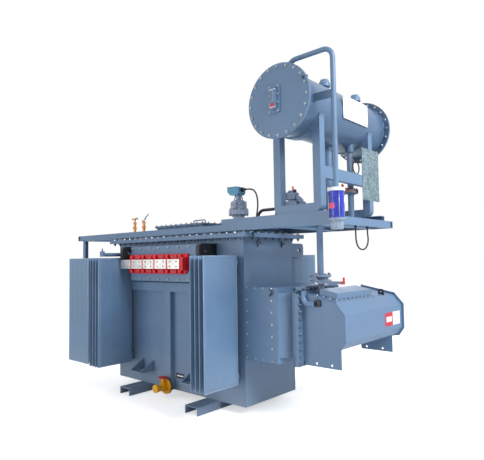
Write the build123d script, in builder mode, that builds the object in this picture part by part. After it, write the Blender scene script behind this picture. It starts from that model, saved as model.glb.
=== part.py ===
from build123d import *

import os
from math import pi, radians, sqrt, tan

# Power transformer. Millimetres, Z up from the ground. X runs along the tank, from the radiators at
# its left end to the cable box at its right end, and -Y is the low-voltage side. The origin is on the
# ground in the middle of the overall length and width.

# Tank
tank_length = 2000
tank_width = 780
tank_height = 1574
rim_overhang = 90
rim_thickness = 20
lid_thickness = 20
stiffener_depth = 50
band_height = 95
band_under_turret = 19
band_inset = 100
upright_width = 99
upright_x_from_middle = -59

# Base channels, which lie across under the tank with their webs up
channel_width = 175
channel_height = 76
channel_web = 8
channel_flange = 11
channel_length = 1358
channel_inset_left = 510
channel_inset_right = 430

# Jacking brackets, four, each a plate on two gussets
bracket_width = 196
bracket_reach = 183
bracket_plate = 12
bracket_z = 235
bracket_gusset_height = 106
bracket_hole_diameter = 40
bracket_hole_reach = 110
bracket_inset_left = 552
bracket_inset_right = 600

# Lifting lugs
lug_thickness = 45
lug_under_rim = 48
lug_height = 145
lug_hole_diameter = 46
lug_hole_share = 0.62
lug_corner_radius = 43.5
lug_reach = 240
lug_inset = 378
corner_lug_thickness = 24
corner_lug_reach = 205

# Radiators
radiator_bottom_z = 290
radiator_under_rim = 170
panel_width = 434
panel_thickness = 18
panel_seam = 6
panel_seam_margin = 16
panel_groove_depth = 3
panel_groove_width = 14
panel_groove_count = 5
panel_gap_to_tank = 60
front_panel_count = 4
front_panel_pitch = 56
side_panel_count = 7
side_panel_pitch = 57
header_diameter = 76
header_margin = 66
front_left_radiator_inset = 223
front_right_radiator_inset = 124
side_radiator_overlap = 52
side_radiator_front_reach = 433
side_header_wall_y = 270
stay_bar_height = 20
stay_bar_thickness = 8

# Low-voltage terminals, on a turret that stands out from the front wall
turret_inset_left = 420
turret_inset_right = 430
turret_height = 377
turret_under_rim = 50
turret_depth = 121
mounting_plate_thickness = 20
board_inset_left = 440
board_inset_right = 601
board_height = 205
board_thickness = 25
board_rise = 80
board_corner = 45
bar_inset_left = 345
bar_inset_right = 640
bar_depth = 50
terminal_count = 5
first_terminal_inset_left = 434
last_terminal_inset_right = 752
terminal_gap = 17.5
terminal_height = 98
terminal_thickness = 12
terminal_hole_spacing = 96
terminal_hole_rise = 50
terminal_hole_diameter = 18

# Drain valve under the front wall's upright stiffener
drain_z = 121
drain_offset_x = 15
drain_flange_diameter = 158
drain_flange_thickness = 15
drain_pipe_diameter = 60
drain_stub_length = 30
drain_body_height = 76
drain_gate_diameter = 60
drain_bonnet_diameter = 38
drain_spindle_y = -127
drain_body_end_y = -215
drain_outlet_diameter = 84
drain_stem_diameter = 12
handwheel_diameter = 100
handwheel_rim = 11
handwheel_z = 219
handwheel_hub_diameter = 26
handwheel_hub_height = 16
handwheel_clearance = 5
handwheel_spoke_width = 10
handwheel_spoke_thickness = 8
drain_stem_end = 7
running_clearance = 0.4

# Throat from the tank's right end wall to the cable box
throat_length = 390
throat_bottom_z = 523
throat_top_z = 1187
neck_inset = 104
neck_taper_length = 80
neck_bottom_z = 574
neck_top_z = 1140
throat_flange_x = 535
throat_flange_thickness = 15
throat_flange_inset = 50
throat_flange_bottom_z = 510
throat_flange_top_z = 1195
inspection_cover_thickness = 12

# Cable box
box_front_y = 125
box_rear_y = 1235
box_left_bottom_z = 630
box_right_bottom_x = 935
box_right_bottom_z = 687
box_side_x = 980
box_side_bottom_z = 752
box_side_top_z = 973
box_top_x = 895
box_top_z = 1070
box_left_top_z = 1135
end_plate_thickness = 15
end_plate_lip = 20
leg_thickness = 10
leg_bottom_z = 523
leg_rear_y = 1095
leg_hole_diameter = 22
leg_hole_z = 549
leg_overhang = 16
front_leg_left_x = 582
front_leg_holes_x = (697, 845)
rear_leg_left_x = 608
rear_leg_holes_x = (664, 833)
hatch_left_x = 690
hatch_front_y = 133
hatch_rear_y = 835
hatch_flange_thickness = 12
hatch_margin = 38
hatch_cover_height = 60
eye_thickness = 14
front_eye_width = 64
front_eye_height = 60
front_eye_corner = 18
front_eye_drop = 12
eye_hole_diameter = 26
front_eye_x = 725
rear_eye_x = 850
rear_eye_y = 1060
rear_eye_width = 64
rear_eye_top_width = 40
rear_eye_height = 52
rear_eye_hole_rise = 28

# Top frame that carries the conservator
frame_front_y = -60
frame_rear_reach = 160
frame_left_reach = 880
frame_right_x = 1050
beam_height = 65
beam_width = 50
packer_height = 22
packer_width = 120
beam_web = 6
beam_flange = 7
left_member_inset = 180
cross_member_places = (-660, -230, 455, 855)
hanging_leg_drop = 500
hanging_leg_inset = 60
upper_beam_height = 50
upper_beam_width = 75
upper_beam_left_x = -230
upper_beam_right_x = 1000

# Conservator
conservator_x = 655
conservator_rise = 904
shell_radius = 258
shell_wall = 8
end_flange_radius = 311
end_flange_thickness = 12
cover_thickness = 12
front_cover_y = -296
rear_cover_y = 1145
cap_places_y = (435, 1022)
cap_diameter = 110
cap_neck_diameter = 48
cap_rise = 306
cap_height = 68
cap_rim_height = 30
nozzle_end_drop = 33
nozzle_wall = 8
breather_nozzle_wall = 9
breather_nozzle_rise = 12
pad_reach = 3
gauge_x = 628
gauge_drop = 99
gauge_height = 232
gauge_width = 110
gauge_corner = 20
gauge_plate = 14
gauge_glass_width = 55
gauge_glass_height = 186
gauge_glass_depth = 26
sign_length = 454
sign_height = 205
sign_front_y = 306
sign_drop = 64
sheet_thickness = 3
sign_pad_inset = 60
sign_pad_width = 40
sign_pad_height = 64

# Frames that carry the conservator
support_left_x = 415
support_right_x = 895
support_post_width = 72
support_corner_radius = 60
support_depth = 75
support_front_y = -55
support_rear_y = 800
saddle_thickness = 12
saddle_drop = 100
support_post_drop = 90
tie_beam_thickness = 50
tie_beam_height = 100
tie_beam_rise = 278
back_plate_front_y = 663
back_plate_rear_y = 1000
back_plate_rise = 150
back_plate_height = 491

# Breather
breather_x = 1090
breather_y = -150
breather_pipe_diameter = 42
breather_pipe_rise = 369
breather_pipe_drop = 751
breather_bend_radius = 88
breather_cap_diameter = 135
breather_cap_height = 25
breather_gel_diameter = 118
breather_gel_height = 205
breather_ring_height = 16
breather_cup_diameter = 100
breather_cup_height = 72
arm_height = 66
arm_thickness = 10

# Gas relay and its pipes
relay_y = 470
relay_rise = 235
relay_left_x = 100
relay_right_x = 370
relay_flange_diameter = 140
relay_flange_thickness = 16
relay_body_size = 130
relay_body_length = 156
relay_body_corner = 24
relay_neck_diameter = 82
relay_cap_diameter = 80
relay_cap_height = 120
relay_pipe_diameter = 70
relay_pipe_bend = 38
relay_drop_x = 60
relay_run_rise = 75
relay_entry_x = -150

# Feed pipe from the conservator to the cable box
riser_x = 648
riser_y = 300
feed_pipe_diameter = 57
feed_x = 757
feed_y = 690
feed_run_rise = 55
feed_bend_radius = 52
riser_valve_bottom_z = 1235
riser_valve_top_z = 1295
valve_flange_diameter = 190
valve_flange_thickness = 16
conservator_valve_rise = 223
conservator_valve_height = 33
conservator_valve_diameter = 140
lever_stem_diameter = 20
lever_hub_diameter = 44
lever_thickness = 10
lever_width = 24
lever_length = 300
lever_drop = 32
lever_gap = 8
lever_crank_start = 12
lever_crank_end = 52
lever_stem_end = 6
lever_boss_wall = 3
riser_valve_body_diameter = 137
trim_reach = 200

# On the lid
hatch_box_inset_left = 430
hatch_box_inset_right = 755
hatch_box_width = 400
hatch_box_height = 155
hatch_box_plate = 20
hatch_box_lip = 20
handle_width = 190
handle_height = 50
handle_rod = 14
handle_bend = 20
handle_inset = 255
pocket_insets = (89, 270)
pocket_y = 150
pocket_diameter = 36
pocket_height = 210
relief_inset = 405
relief_stub_diameter = 120
relief_flange_diameter = 210
relief_stub_height = 222
relief_flange_height = 52
relief_dome_diameter = 143
relief_dome_height = 110
relief_dome_slope = 24
relief_neck_diameter = 56
relief_neck_height = 48
relief_head_height = 88
relief_head_depth = 110
relief_head_left = 112
relief_head_right = 50
relief_head_corner = 20

# Small pipes: a vent pipe over the front left radiator and an elbow on the cable box's front wall
vent_pipe_diameter = 42
vent_pipe_reach = 390
vent_pipe_rise = 36
vent_valve_diameter = 54
vent_valve_height = 60
vent_stem_diameter = 16
vent_stem_height = 32
elbow_diameter = 48
elbow_top_z = 1160
elbow_bottom_z = 1050
elbow_bend_radius = 60

# Cables with their glands, and the conduit from the lid to the gas relay
gland_diameter = 28
gland_height = 25
beam_gland_diameter = 22
beam_gland_height = 20
strain_relief_length = 60
strain_relief_start = 36
strain_relief_end = 20
relief_cable_diameter = 16
gauge_cable_diameter = 13
arc_share = 0.45
conduit_diameter = 30
conduit_foot_x = -66
conduit_y = 300
conduit_end_x = 200
conduit_bend_radius = 75

# Places worked out from these sizes
reach_right = breather_x + breather_cap_diameter / 2
wall_x = (tank_length + frame_left_reach - reach_right) / 2
left_wall_x = wall_x - tank_length
tank_middle_x = wall_x - tank_length / 2
front_y = -tank_width / 2
rear_y = tank_width / 2
rim_z = channel_height + tank_height
lid_z = rim_z + rim_thickness
lid_top_z = lid_z + lid_thickness
beam_z = lid_top_z + packer_height
beam_top_z = beam_z + beam_height
upper_beam_top_z = beam_top_z + upper_beam_height
frame_left_x = left_wall_x - frame_left_reach
conservator_z = upper_beam_top_z + conservator_rise
nozzle_z = conservator_z - shell_radius - nozzle_end_drop
radiator_height = rim_z - radiator_under_rim - radiator_bottom_z
turret_bottom_z = rim_z - turret_under_rim - turret_height
band_bottom_z = turret_bottom_z - band_under_turret - band_height
board_bottom_z = turret_bottom_z + board_rise
terminal_z = board_bottom_z + board_height / 2
relay_z = lid_top_z + relay_rise


def level(z):
    """The level plane at this height."""
    return Plane.XY.offset(z)


def facing_front(y):
    """The upright plane at this Y that faces the front, with X to the right and Z up."""
    return Plane.XZ.offset(-y)


def facing_right(x):
    """The upright plane at this X that faces right, with Y to the right and Z up."""
    return Plane.YZ.offset(x)


def rectangle_between(left, right, bottom, top, mode=Mode.ADD):
    """A rectangle in the sketch being drawn, between these coordinates."""
    with Locations(((left + right) / 2, (bottom + top) / 2)):
        Rectangle(right - left, top - bottom, mode=mode)


def channel_between(left, right, bottom, top, web_on_left):
    """A channel's section in the sketch being drawn, with flanges along its top and bottom."""
    rectangle_between(left, right, bottom, top)
    hollow_left = left + beam_web if web_on_left else left
    hollow_right = right if web_on_left else right - beam_web
    rectangle_between(
        hollow_left, hollow_right, bottom + beam_flange, top - beam_flange, mode=Mode.SUBTRACT
    )


os.makedirs("parts", exist_ok=True)


def finish(piece, name):
    """Label a finished piece and write it."""
    piece.part.label = name
    export_step(piece.part, f"parts/{name}.step")


# Tank body, with the stiffeners welded on its two long walls and the turret of the terminals
turret_left_x = left_wall_x + turret_inset_left
turret_right_x = wall_x - turret_inset_right
with BuildPart() as tank_body:
    with BuildSketch(level(channel_height)):
        with Locations((tank_middle_x, 0)):
            Rectangle(tank_length, tank_width)
    extrude(amount=tank_height)
    with BuildSketch(level(rim_z)):
        with Locations((tank_middle_x, 0)):
            Rectangle(tank_length + 2 * rim_overhang, tank_width + 2 * rim_overhang)
    extrude(amount=rim_thickness)
    for stiffener_back_y in (front_y, rear_y + stiffener_depth):
        with BuildSketch(facing_front(stiffener_back_y)):
            rectangle_between(
                left_wall_x + band_inset,
                wall_x - band_inset,
                band_bottom_z,
                band_bottom_z + band_height,
            )
            rectangle_between(
                tank_middle_x + upright_x_from_middle - upright_width / 2,
                tank_middle_x + upright_x_from_middle + upright_width / 2,
                channel_height,
                band_bottom_z,
            )
        extrude(amount=stiffener_depth)
    with BuildSketch(facing_front(front_y)):
        rectangle_between(
            turret_left_x,
            turret_right_x,
            turret_bottom_z,
            turret_bottom_z + turret_height,
        )
    extrude(amount=turret_depth)
finish(tank_body, "tank_body")

# Tank lid, bolted on the rim
with BuildPart() as tank_lid:
    with BuildSketch(level(lid_z)):
        with Locations((tank_middle_x, 0)):
            Rectangle(tank_length + 2 * rim_overhang, tank_width + 2 * rim_overhang)
    extrude(amount=lid_thickness)
finish(tank_lid, "tank_lid")

# Base channels
with BuildPart() as base_channels:
    with BuildSketch(facing_front(channel_length / 2)):
        for x in (left_wall_x + channel_inset_left, wall_x - channel_inset_right):
            with Locations((x, channel_height / 2)):
                Rectangle(channel_width, channel_height)
            with Locations((x, (channel_height - channel_web) / 2)):
                Rectangle(
                    channel_width - 2 * channel_flange,
                    channel_height - channel_web,
                    mode=Mode.SUBTRACT,
                )
    extrude(amount=channel_length)
finish(base_channels, "base_channels")

# Jacking brackets: a plate with a pin hole under two gussets, in front and mirrored behind
with BuildPart() as jacking_brackets:
    for x in (left_wall_x + bracket_inset_left, wall_x - bracket_inset_right):
        with BuildSketch(level(bracket_z - bracket_plate)):
            rectangle_between(
                x - bracket_width / 2, x + bracket_width / 2, front_y - bracket_reach, front_y
            )
            with Locations((x, front_y - bracket_hole_reach)):
                Circle(bracket_hole_diameter / 2, mode=Mode.SUBTRACT)
        extrude(amount=bracket_plate)
        for gusset_x in (x - bracket_width / 2, x + bracket_width / 2 - bracket_plate):
            with BuildSketch(facing_right(gusset_x)):
                with BuildLine():
                    Polyline(
                        (front_y, bracket_z),
                        (front_y - bracket_reach, bracket_z),
                        (front_y, bracket_z + bracket_gusset_height),
                        close=True,
                    )
                make_face()
            extrude(amount=bracket_plate)
    mirror(about=Plane.XZ)
finish(jacking_brackets, "jacking_brackets")

# Lifting lugs, thick plates with an eye, with their outer corners rounded, and a lug at the rear corner
lug_top_z = rim_z - lug_under_rim
lug_bottom_z = lug_top_z - lug_height
lugs = [
    (x - lug_thickness / 2, lug_thickness, wall_y, reach)
    for x in (left_wall_x + lug_inset, wall_x - lug_inset)
    for wall_y, reach in ((front_y, -lug_reach), (rear_y, lug_reach))
]
lugs.append((wall_x - corner_lug_thickness, corner_lug_thickness, rear_y, corner_lug_reach))
with BuildPart() as lifting_lugs:
    for x, thickness, wall_y, reach in lugs:
        with BuildSketch(facing_right(x)) as outline:
            rectangle_between(
                min(wall_y, wall_y + reach), max(wall_y, wall_y + reach), lug_bottom_z, lug_top_z
            )
            outer = outline.vertices().group_by(Axis.X)[-1 if reach > 0 else 0]
            fillet(outer, lug_corner_radius)
            with Locations((wall_y + reach * lug_hole_share, (lug_bottom_z + lug_top_z) / 2)):
                Circle(lug_hole_diameter / 2, mode=Mode.SUBTRACT)
        extrude(amount=thickness)
finish(lifting_lugs, "lifting_lugs")


def draw_radiator(base, count, pitch, header_offset):
    """Panels and headers of a radiator. The base plane's x runs across the panels from their inner
    edges, its y along the stack, and header_offset is the headers' place on x."""
    with BuildPart() as stack:
        for index in range(count):
            along = (index - (count - 1) / 2) * pitch
            with BuildSketch(base):
                rectangle_between(0, panel_width, along - panel_seam / 2, along + panel_seam / 2)
            extrude(amount=radiator_height)
            with BuildSketch(base.offset(panel_seam_margin)):
                with Locations((panel_width / 2, along)):
                    Rectangle(panel_width - 2 * panel_seam_margin, panel_thickness)
                    for side in (-1, 1):
                        with Locations((0, side * (panel_thickness - panel_groove_depth) / 2)):
                            with GridLocations(panel_width / (panel_groove_count + 1), 0,
                                               panel_groove_count, 1):
                                Rectangle(
                                    panel_groove_width, panel_groove_depth, mode=Mode.SUBTRACT
                                )
            extrude(amount=radiator_height - 2 * panel_seam_margin)
        for height in (header_margin, radiator_height - header_margin):
            origin = base.from_local_coords(Vector(header_offset, 0, height))
            with BuildSketch(Plane(origin=origin, x_dir=base.x_dir, z_dir=base.y_dir)):
                Circle(header_diameter / 2)
            extrude(amount=count * pitch / 2, both=True)
    return stack


def front_radiator(x):
    """A radiator on the front wall: panels that face X, with headers piped straight to the wall."""
    base = Plane(
        origin=(x, front_y - panel_gap_to_tank, radiator_bottom_z),
        x_dir=(0, -1, 0),
        z_dir=(0, 0, 1),
    )
    stack = draw_radiator(base, front_panel_count, front_panel_pitch, header_margin)
    with BuildPart() as radiator:
        add(stack.part)
        for height in (header_margin, radiator_height - header_margin):
            with BuildSketch(facing_front(front_y)):
                with Locations((x, radiator_bottom_z + height)):
                    Circle(header_diameter / 2)
            extrude(amount=panel_gap_to_tank + header_margin)
        with BuildSketch(facing_front(front_y - panel_gap_to_tank - panel_width)):
            with Locations((x, radiator_bottom_z + stay_bar_height / 2)):
                Rectangle(front_panel_count * front_panel_pitch, stay_bar_height)
        extrude(amount=stay_bar_thickness)
    return radiator


radiator_front_left = front_radiator(left_wall_x + front_left_radiator_inset)
radiator_front_right = front_radiator(wall_x - front_right_radiator_inset)
finish(radiator_front_left, "radiator_front_left")
finish(radiator_front_right, "radiator_front_right")

with BuildPart() as radiator_rear_left:
    mirror(radiator_front_left.part, about=Plane.XZ)
finish(radiator_rear_left, "radiator_rear_left")

with BuildPart() as radiator_rear_right:
    mirror(radiator_front_right.part, about=Plane.XZ)
finish(radiator_rear_right, "radiator_rear_right")

# Radiators beyond the tank's left end: panels that face Y, with headers that turn into the end wall
side_stack_length = (side_panel_count - 1) * side_panel_pitch
side_stack_y = front_y - side_radiator_front_reach + side_stack_length / 2
side_stack_right_x = left_wall_x + side_radiator_overlap
side_base = Plane(
    origin=(side_stack_right_x, side_stack_y, radiator_bottom_z),
    x_dir=(-1, 0, 0),
    z_dir=(0, 0, 1),
)
side_header_x = side_stack_right_x - panel_width / 2
side_header_y = front_y + side_header_wall_y
side_stack = draw_radiator(side_base, side_panel_count, side_panel_pitch, panel_width / 2)
with BuildPart() as radiator_side_front:
    add(side_stack.part)
    for height in (header_margin, radiator_height - header_margin):
        z = radiator_bottom_z + height
        with BuildLine() as header_path:
            FilletPolyline(
                (side_header_x, side_stack_y, z),
                (side_header_x, side_header_y, z),
                (left_wall_x, side_header_y, z),
                radius=header_diameter,
            )
        with BuildSketch(Plane(origin=header_path.line @ 0, z_dir=header_path.line % 0)):
            Circle(header_diameter / 2)
        sweep()
finish(radiator_side_front, "radiator_side_front")

with BuildPart() as radiator_side_rear:
    mirror(radiator_side_front.part, about=Plane.XZ)
finish(radiator_side_rear, "radiator_side_rear")

# Low-voltage mounting plate, bolted on the turret
turret_y = front_y - turret_depth
with BuildPart() as lv_mounting_plate:
    with BuildSketch(facing_front(turret_y)):
        rectangle_between(
            turret_left_x,
            turret_right_x,
            turret_bottom_z,
            turret_bottom_z + turret_height,
        )
    extrude(amount=mounting_plate_thickness)
finish(lv_mounting_plate, "lv_mounting_plate")

# Insulating board, with the bar that carries the terminals
board_y = turret_y - mounting_plate_thickness
with BuildPart() as lv_insulating_board:
    with BuildSketch(facing_front(board_y)) as board_outline:
        rectangle_between(
            left_wall_x + board_inset_left,
            wall_x - board_inset_right,
            board_bottom_z,
            board_bottom_z + board_height,
        )
        chamfer(board_outline.vertices().group_by(Axis.Y)[0], board_corner)
    extrude(amount=board_thickness)
    with BuildSketch(facing_front(board_y - board_thickness)):
        rectangle_between(
            left_wall_x + bar_inset_left,
            wall_x - bar_inset_right,
            terminal_z - terminal_height / 2,
            terminal_z + terminal_height / 2,
        )
    extrude(amount=bar_depth)
finish(lv_insulating_board, "lv_insulating_board")

# Low-voltage terminals, flat palms with four bolt holes each
terminal_y = board_y - board_thickness - bar_depth
first_terminal_x = left_wall_x + first_terminal_inset_left
last_terminal_x = wall_x - last_terminal_inset_right
terminal_pitch = (last_terminal_x - first_terminal_x) / (terminal_count - 1)
with BuildPart() as lv_terminals:
    for index in range(terminal_count):
        with BuildSketch(facing_front(terminal_y)):
            with Locations((first_terminal_x + index * terminal_pitch, terminal_z)):
                Rectangle(terminal_pitch - terminal_gap, terminal_height)
                with GridLocations(terminal_hole_spacing, terminal_hole_rise, 2, 2):
                    Circle(terminal_hole_diameter / 2, mode=Mode.SUBTRACT)
        extrude(amount=terminal_thickness)
finish(lv_terminals, "lv_terminals")

# Drain valve: a flanged gate valve whose stem stands up beside its flange
drain_x = tank_middle_x + upright_x_from_middle + drain_offset_x
drain_start_y = front_y - stiffener_depth
drain_stem_y = front_y + drain_spindle_y
handwheel_bottom_z = handwheel_z - handwheel_hub_height / 2
bonnet_top_z = handwheel_bottom_z - handwheel_clearance
with BuildPart() as drain_valve_body:
    with BuildSketch(facing_front(drain_start_y)):
        with Locations((drain_x, drain_z)):
            Circle(drain_pipe_diameter / 2)
    extrude(amount=drain_start_y - front_y - drain_body_end_y)
    for flange_y, diameter in (
        (drain_start_y - drain_stub_length, drain_flange_diameter),
        (front_y + drain_body_end_y, drain_outlet_diameter),
    ):
        with BuildSketch(facing_front(flange_y)):
            with Locations((drain_x, drain_z)):
                Circle(diameter / 2)
        extrude(amount=drain_flange_thickness)
    with BuildSketch(level(drain_z - drain_body_height / 2)):
        with Locations((drain_x, drain_stem_y)):
            Circle(drain_gate_diameter / 2)
    extrude(amount=drain_body_height)
    with BuildSketch(level(drain_z + drain_body_height / 2)):
        with Locations((drain_x, drain_stem_y)):
            Circle(drain_bonnet_diameter / 2)
    extrude(amount=bonnet_top_z - drain_z - drain_body_height / 2)
    with BuildSketch(level(bonnet_top_z)):
        with Locations((drain_x, drain_stem_y)):
            Circle(drain_stem_diameter / 2)
    extrude(amount=handwheel_clearance + handwheel_hub_height + drain_stem_end)
finish(drain_valve_body, "drain_valve_body")

# Handwheel of the drain valve, which turns on the stem
with BuildPart() as drain_handwheel:
    with BuildSketch(facing_front(drain_stem_y)):
        with Locations((drain_x + handwheel_diameter / 2 - handwheel_rim / 2, handwheel_z)):
            Circle(handwheel_rim / 2)
    revolve(axis=Axis((drain_x, drain_stem_y, 0), (0, 0, 1)))
    with BuildSketch(level(handwheel_bottom_z)):
        with Locations((drain_x, drain_stem_y)):
            Circle(handwheel_hub_diameter / 2)
    extrude(amount=handwheel_hub_height)
    with BuildSketch(level(handwheel_z - handwheel_spoke_thickness / 2)):
        with Locations((drain_x, drain_stem_y)):
            Rectangle(handwheel_diameter - handwheel_rim, handwheel_spoke_width)
            Rectangle(handwheel_spoke_width, handwheel_diameter - handwheel_rim)
    extrude(amount=handwheel_spoke_thickness)
    with BuildSketch(level(handwheel_bottom_z)):
        with Locations((drain_x, drain_stem_y)):
            Circle(drain_stem_diameter / 2 + running_clearance)
    extrude(amount=handwheel_hub_height, mode=Mode.SUBTRACT)
finish(drain_handwheel, "drain_handwheel")

# Throat: a box on the end wall, then a neck that narrows to the flange
throat_end_x = wall_x + throat_length
flange_x = wall_x + throat_flange_x
with BuildPart() as hv_throat:
    with BuildSketch(level(throat_bottom_z)):
        rectangle_between(wall_x, throat_end_x, front_y, rear_y)
    extrude(amount=throat_top_z - throat_bottom_z)
    with BuildSketch(level(neck_bottom_z)):
        with BuildLine():
            Polyline(
                (throat_end_x, front_y),
                (throat_end_x + neck_taper_length, front_y + neck_inset),
                (flange_x, front_y + neck_inset),
                (flange_x, rear_y - neck_inset),
                (throat_end_x + neck_taper_length, rear_y - neck_inset),
                (throat_end_x, rear_y),
                close=True,
            )
        make_face()
    extrude(amount=neck_top_z - neck_bottom_z)
    with BuildSketch(facing_right(flange_x)):
        rectangle_between(
            front_y + throat_flange_inset,
            rear_y - throat_flange_inset,
            throat_flange_bottom_z,
            throat_flange_top_z,
        )
    extrude(amount=throat_flange_thickness)
finish(hv_throat, "hv_throat")

# Inspection cover on the throat's front
with BuildPart() as inspection_cover:
    with BuildSketch(facing_front(front_y)):
        rectangle_between(wall_x, throat_end_x, throat_bottom_z, throat_top_z)
    extrude(amount=inspection_cover_thickness)
finish(inspection_cover, "inspection_cover")

# Cable box, a long housing with a sloped top and bottom
box_left_x = flange_x + 2 * throat_flange_thickness
box_bottom_x = wall_x + box_right_bottom_x
box_top_edge_x = wall_x + box_top_x
box_outline = (
    (box_left_x, box_left_bottom_z),
    (box_bottom_x, box_right_bottom_z),
    (wall_x + box_side_x, box_side_bottom_z),
    (wall_x + box_side_x, box_side_top_z),
    (box_top_edge_x, box_top_z),
    (box_left_x, box_left_top_z),
)
with BuildPart() as cable_box:
    with BuildSketch(facing_front(front_y + box_rear_y)):
        with BuildLine():
            Polyline(*box_outline, close=True)
        make_face()
    extrude(amount=box_rear_y - box_front_y)
    with BuildSketch(facing_right(flange_x + throat_flange_thickness)):
        rectangle_between(
            front_y + throat_flange_inset,
            rear_y - throat_flange_inset,
            throat_flange_bottom_z,
            throat_flange_top_z,
        )
    extrude(amount=throat_flange_thickness)
finish(cable_box, "cable_box")

# End plate of the cable box, with a lip all round
with BuildPart() as cable_box_end_plate:
    with BuildSketch(facing_front(front_y + box_rear_y + end_plate_thickness)):
        with BuildLine():
            Polyline(*box_outline, close=True)
        make_face()
        offset(amount=end_plate_lip, kind=Kind.INTERSECTION)
    extrude(amount=end_plate_thickness)
finish(cable_box_end_plate, "cable_box_end_plate")


def box_underside_z(x):
    """The height of the cable box's underside at this X."""
    share = (x - box_left_x) / (box_bottom_x - box_left_x)
    return box_left_bottom_z + share * (box_right_bottom_z - box_left_bottom_z)


def box_top_at(x):
    """The height of the cable box's sloped top at this X."""
    share = (x - box_left_x) / (box_top_edge_x - box_left_x)
    return box_left_top_z + share * (box_top_z - box_left_top_z)


# Legs of the cable box, plates under its two ends with holes for foundation bolts
legs = (
    (front_y + box_front_y + leg_thickness, wall_x + front_leg_left_x, front_leg_holes_x),
    (front_y + leg_rear_y + leg_thickness, wall_x + rear_leg_left_x, rear_leg_holes_x),
)
with BuildPart() as cable_box_legs:
    for leg_y, left_x, hole_places in legs:
        with BuildSketch(facing_front(leg_y)):
            with BuildLine():
                Polyline(
                    (left_x, leg_bottom_z),
                    (box_bottom_x, leg_bottom_z),
                    (box_bottom_x, box_right_bottom_z),
                    (left_x - leg_overhang, box_underside_z(left_x - leg_overhang)),
                    close=True,
                )
            make_face()
            for hole_x in hole_places:
                with Locations((wall_x + hole_x, leg_hole_z)):
                    Circle(leg_hole_diameter / 2, mode=Mode.SUBTRACT)
        extrude(amount=leg_thickness)
finish(cable_box_legs, "cable_box_legs")

# Hatch on the cable box's sloped top: a bolted flange and a raised cover
hatch_x = wall_x + hatch_left_x
slope_run = box_top_edge_x - box_left_x
slope_rise = box_top_z - box_left_top_z
slope_length = (box_top_edge_x - hatch_x) * sqrt(slope_run**2 + slope_rise**2) / slope_run
slope_plane = Plane(
    origin=(hatch_x, front_y, box_top_at(hatch_x)),
    x_dir=(slope_run, 0, slope_rise),
    z_dir=(-slope_rise, 0, slope_run),
)
with BuildPart() as cable_box_hatch:
    with BuildSketch(slope_plane):
        rectangle_between(0, slope_length, hatch_front_y, hatch_rear_y)
    extrude(amount=hatch_flange_thickness)
    with BuildSketch(slope_plane.offset(hatch_flange_thickness)):
        rectangle_between(
            hatch_margin / 2, slope_length - hatch_margin / 2,
            hatch_front_y + hatch_margin, hatch_rear_y - hatch_margin,
        )
    extrude(amount=hatch_cover_height)
finish(cable_box_hatch, "cable_box_hatch")

# Lifting eyes of the cable box, one on its front wall and one on its sloped top
with BuildPart() as cable_box_lifting_eyes:
    with BuildSketch(facing_front(front_y + box_front_y)):
        with Locations((wall_x + front_eye_x, box_top_z - front_eye_drop)):
            RectangleRounded(front_eye_width, front_eye_height, front_eye_corner)
            Circle(eye_hole_diameter / 2, mode=Mode.SUBTRACT)
    extrude(amount=eye_thickness)
    eye_x = wall_x + rear_eye_x
    eye_left_foot_x = eye_x - rear_eye_width / 2
    eye_right_foot_x = eye_x + rear_eye_width / 2
    with BuildSketch(facing_front(front_y + rear_eye_y + eye_thickness)):
        with BuildLine():
            Polyline(
                (eye_left_foot_x, box_top_at(eye_left_foot_x)),
                (eye_right_foot_x, box_top_at(eye_right_foot_x)),
                (eye_x + rear_eye_top_width / 2, box_top_at(eye_x) + rear_eye_height),
                (eye_x - rear_eye_top_width / 2, box_top_at(eye_x) + rear_eye_height),
                close=True,
            )
        make_face()
        with Locations((eye_x, box_top_at(eye_x) + rear_eye_hole_rise)):
            Circle(eye_hole_diameter / 2, mode=Mode.SUBTRACT)
    extrude(amount=eye_thickness)
finish(cable_box_lifting_eyes, "cable_box_lifting_eyes")

# Top frame: two long beams, with the hanging frame at the left end and cross members between them
frame_right_edge_x = wall_x + frame_right_x
front_beam_y = front_y + frame_front_y
rear_beam_y = rear_y + frame_rear_reach
for name, beam_y, web_in_front in (
    ("frame_front_beam", front_beam_y, True),
    ("frame_rear_beam", rear_beam_y - beam_width, False),
):
    with BuildPart() as long_beam:
        with BuildSketch(facing_right(frame_left_x + beam_width)):
            channel_between(beam_y, beam_y + beam_width, beam_z, beam_top_z, web_in_front)
        extrude(amount=frame_right_edge_x - frame_left_x - beam_width)
    finish(long_beam, name)

inner_front_y = front_beam_y + beam_width
inner_rear_y = rear_beam_y - beam_width
end_member_x = frame_right_edge_x - beam_width / 2
member_places = [left_wall_x + left_member_inset, end_member_x]
member_places += [wall_x + place for place in cross_member_places]
with BuildPart() as frame_cross_members:
    for x in member_places:
        with BuildSketch(facing_front(inner_rear_y)):
            channel_between(
                x - beam_width / 2, x + beam_width / 2, beam_z, beam_top_z, x < end_member_x
            )
        extrude(amount=inner_rear_y - inner_front_y)
        if x < wall_x:
            for packer_y in (front_y + packer_width, rear_y - packer_width):
                with BuildSketch(level(lid_top_z)):
                    with Locations((x, packer_y)):
                        Rectangle(beam_width, packer_width)
                extrude(amount=packer_height)
finish(frame_cross_members, "frame_cross_members")

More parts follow.
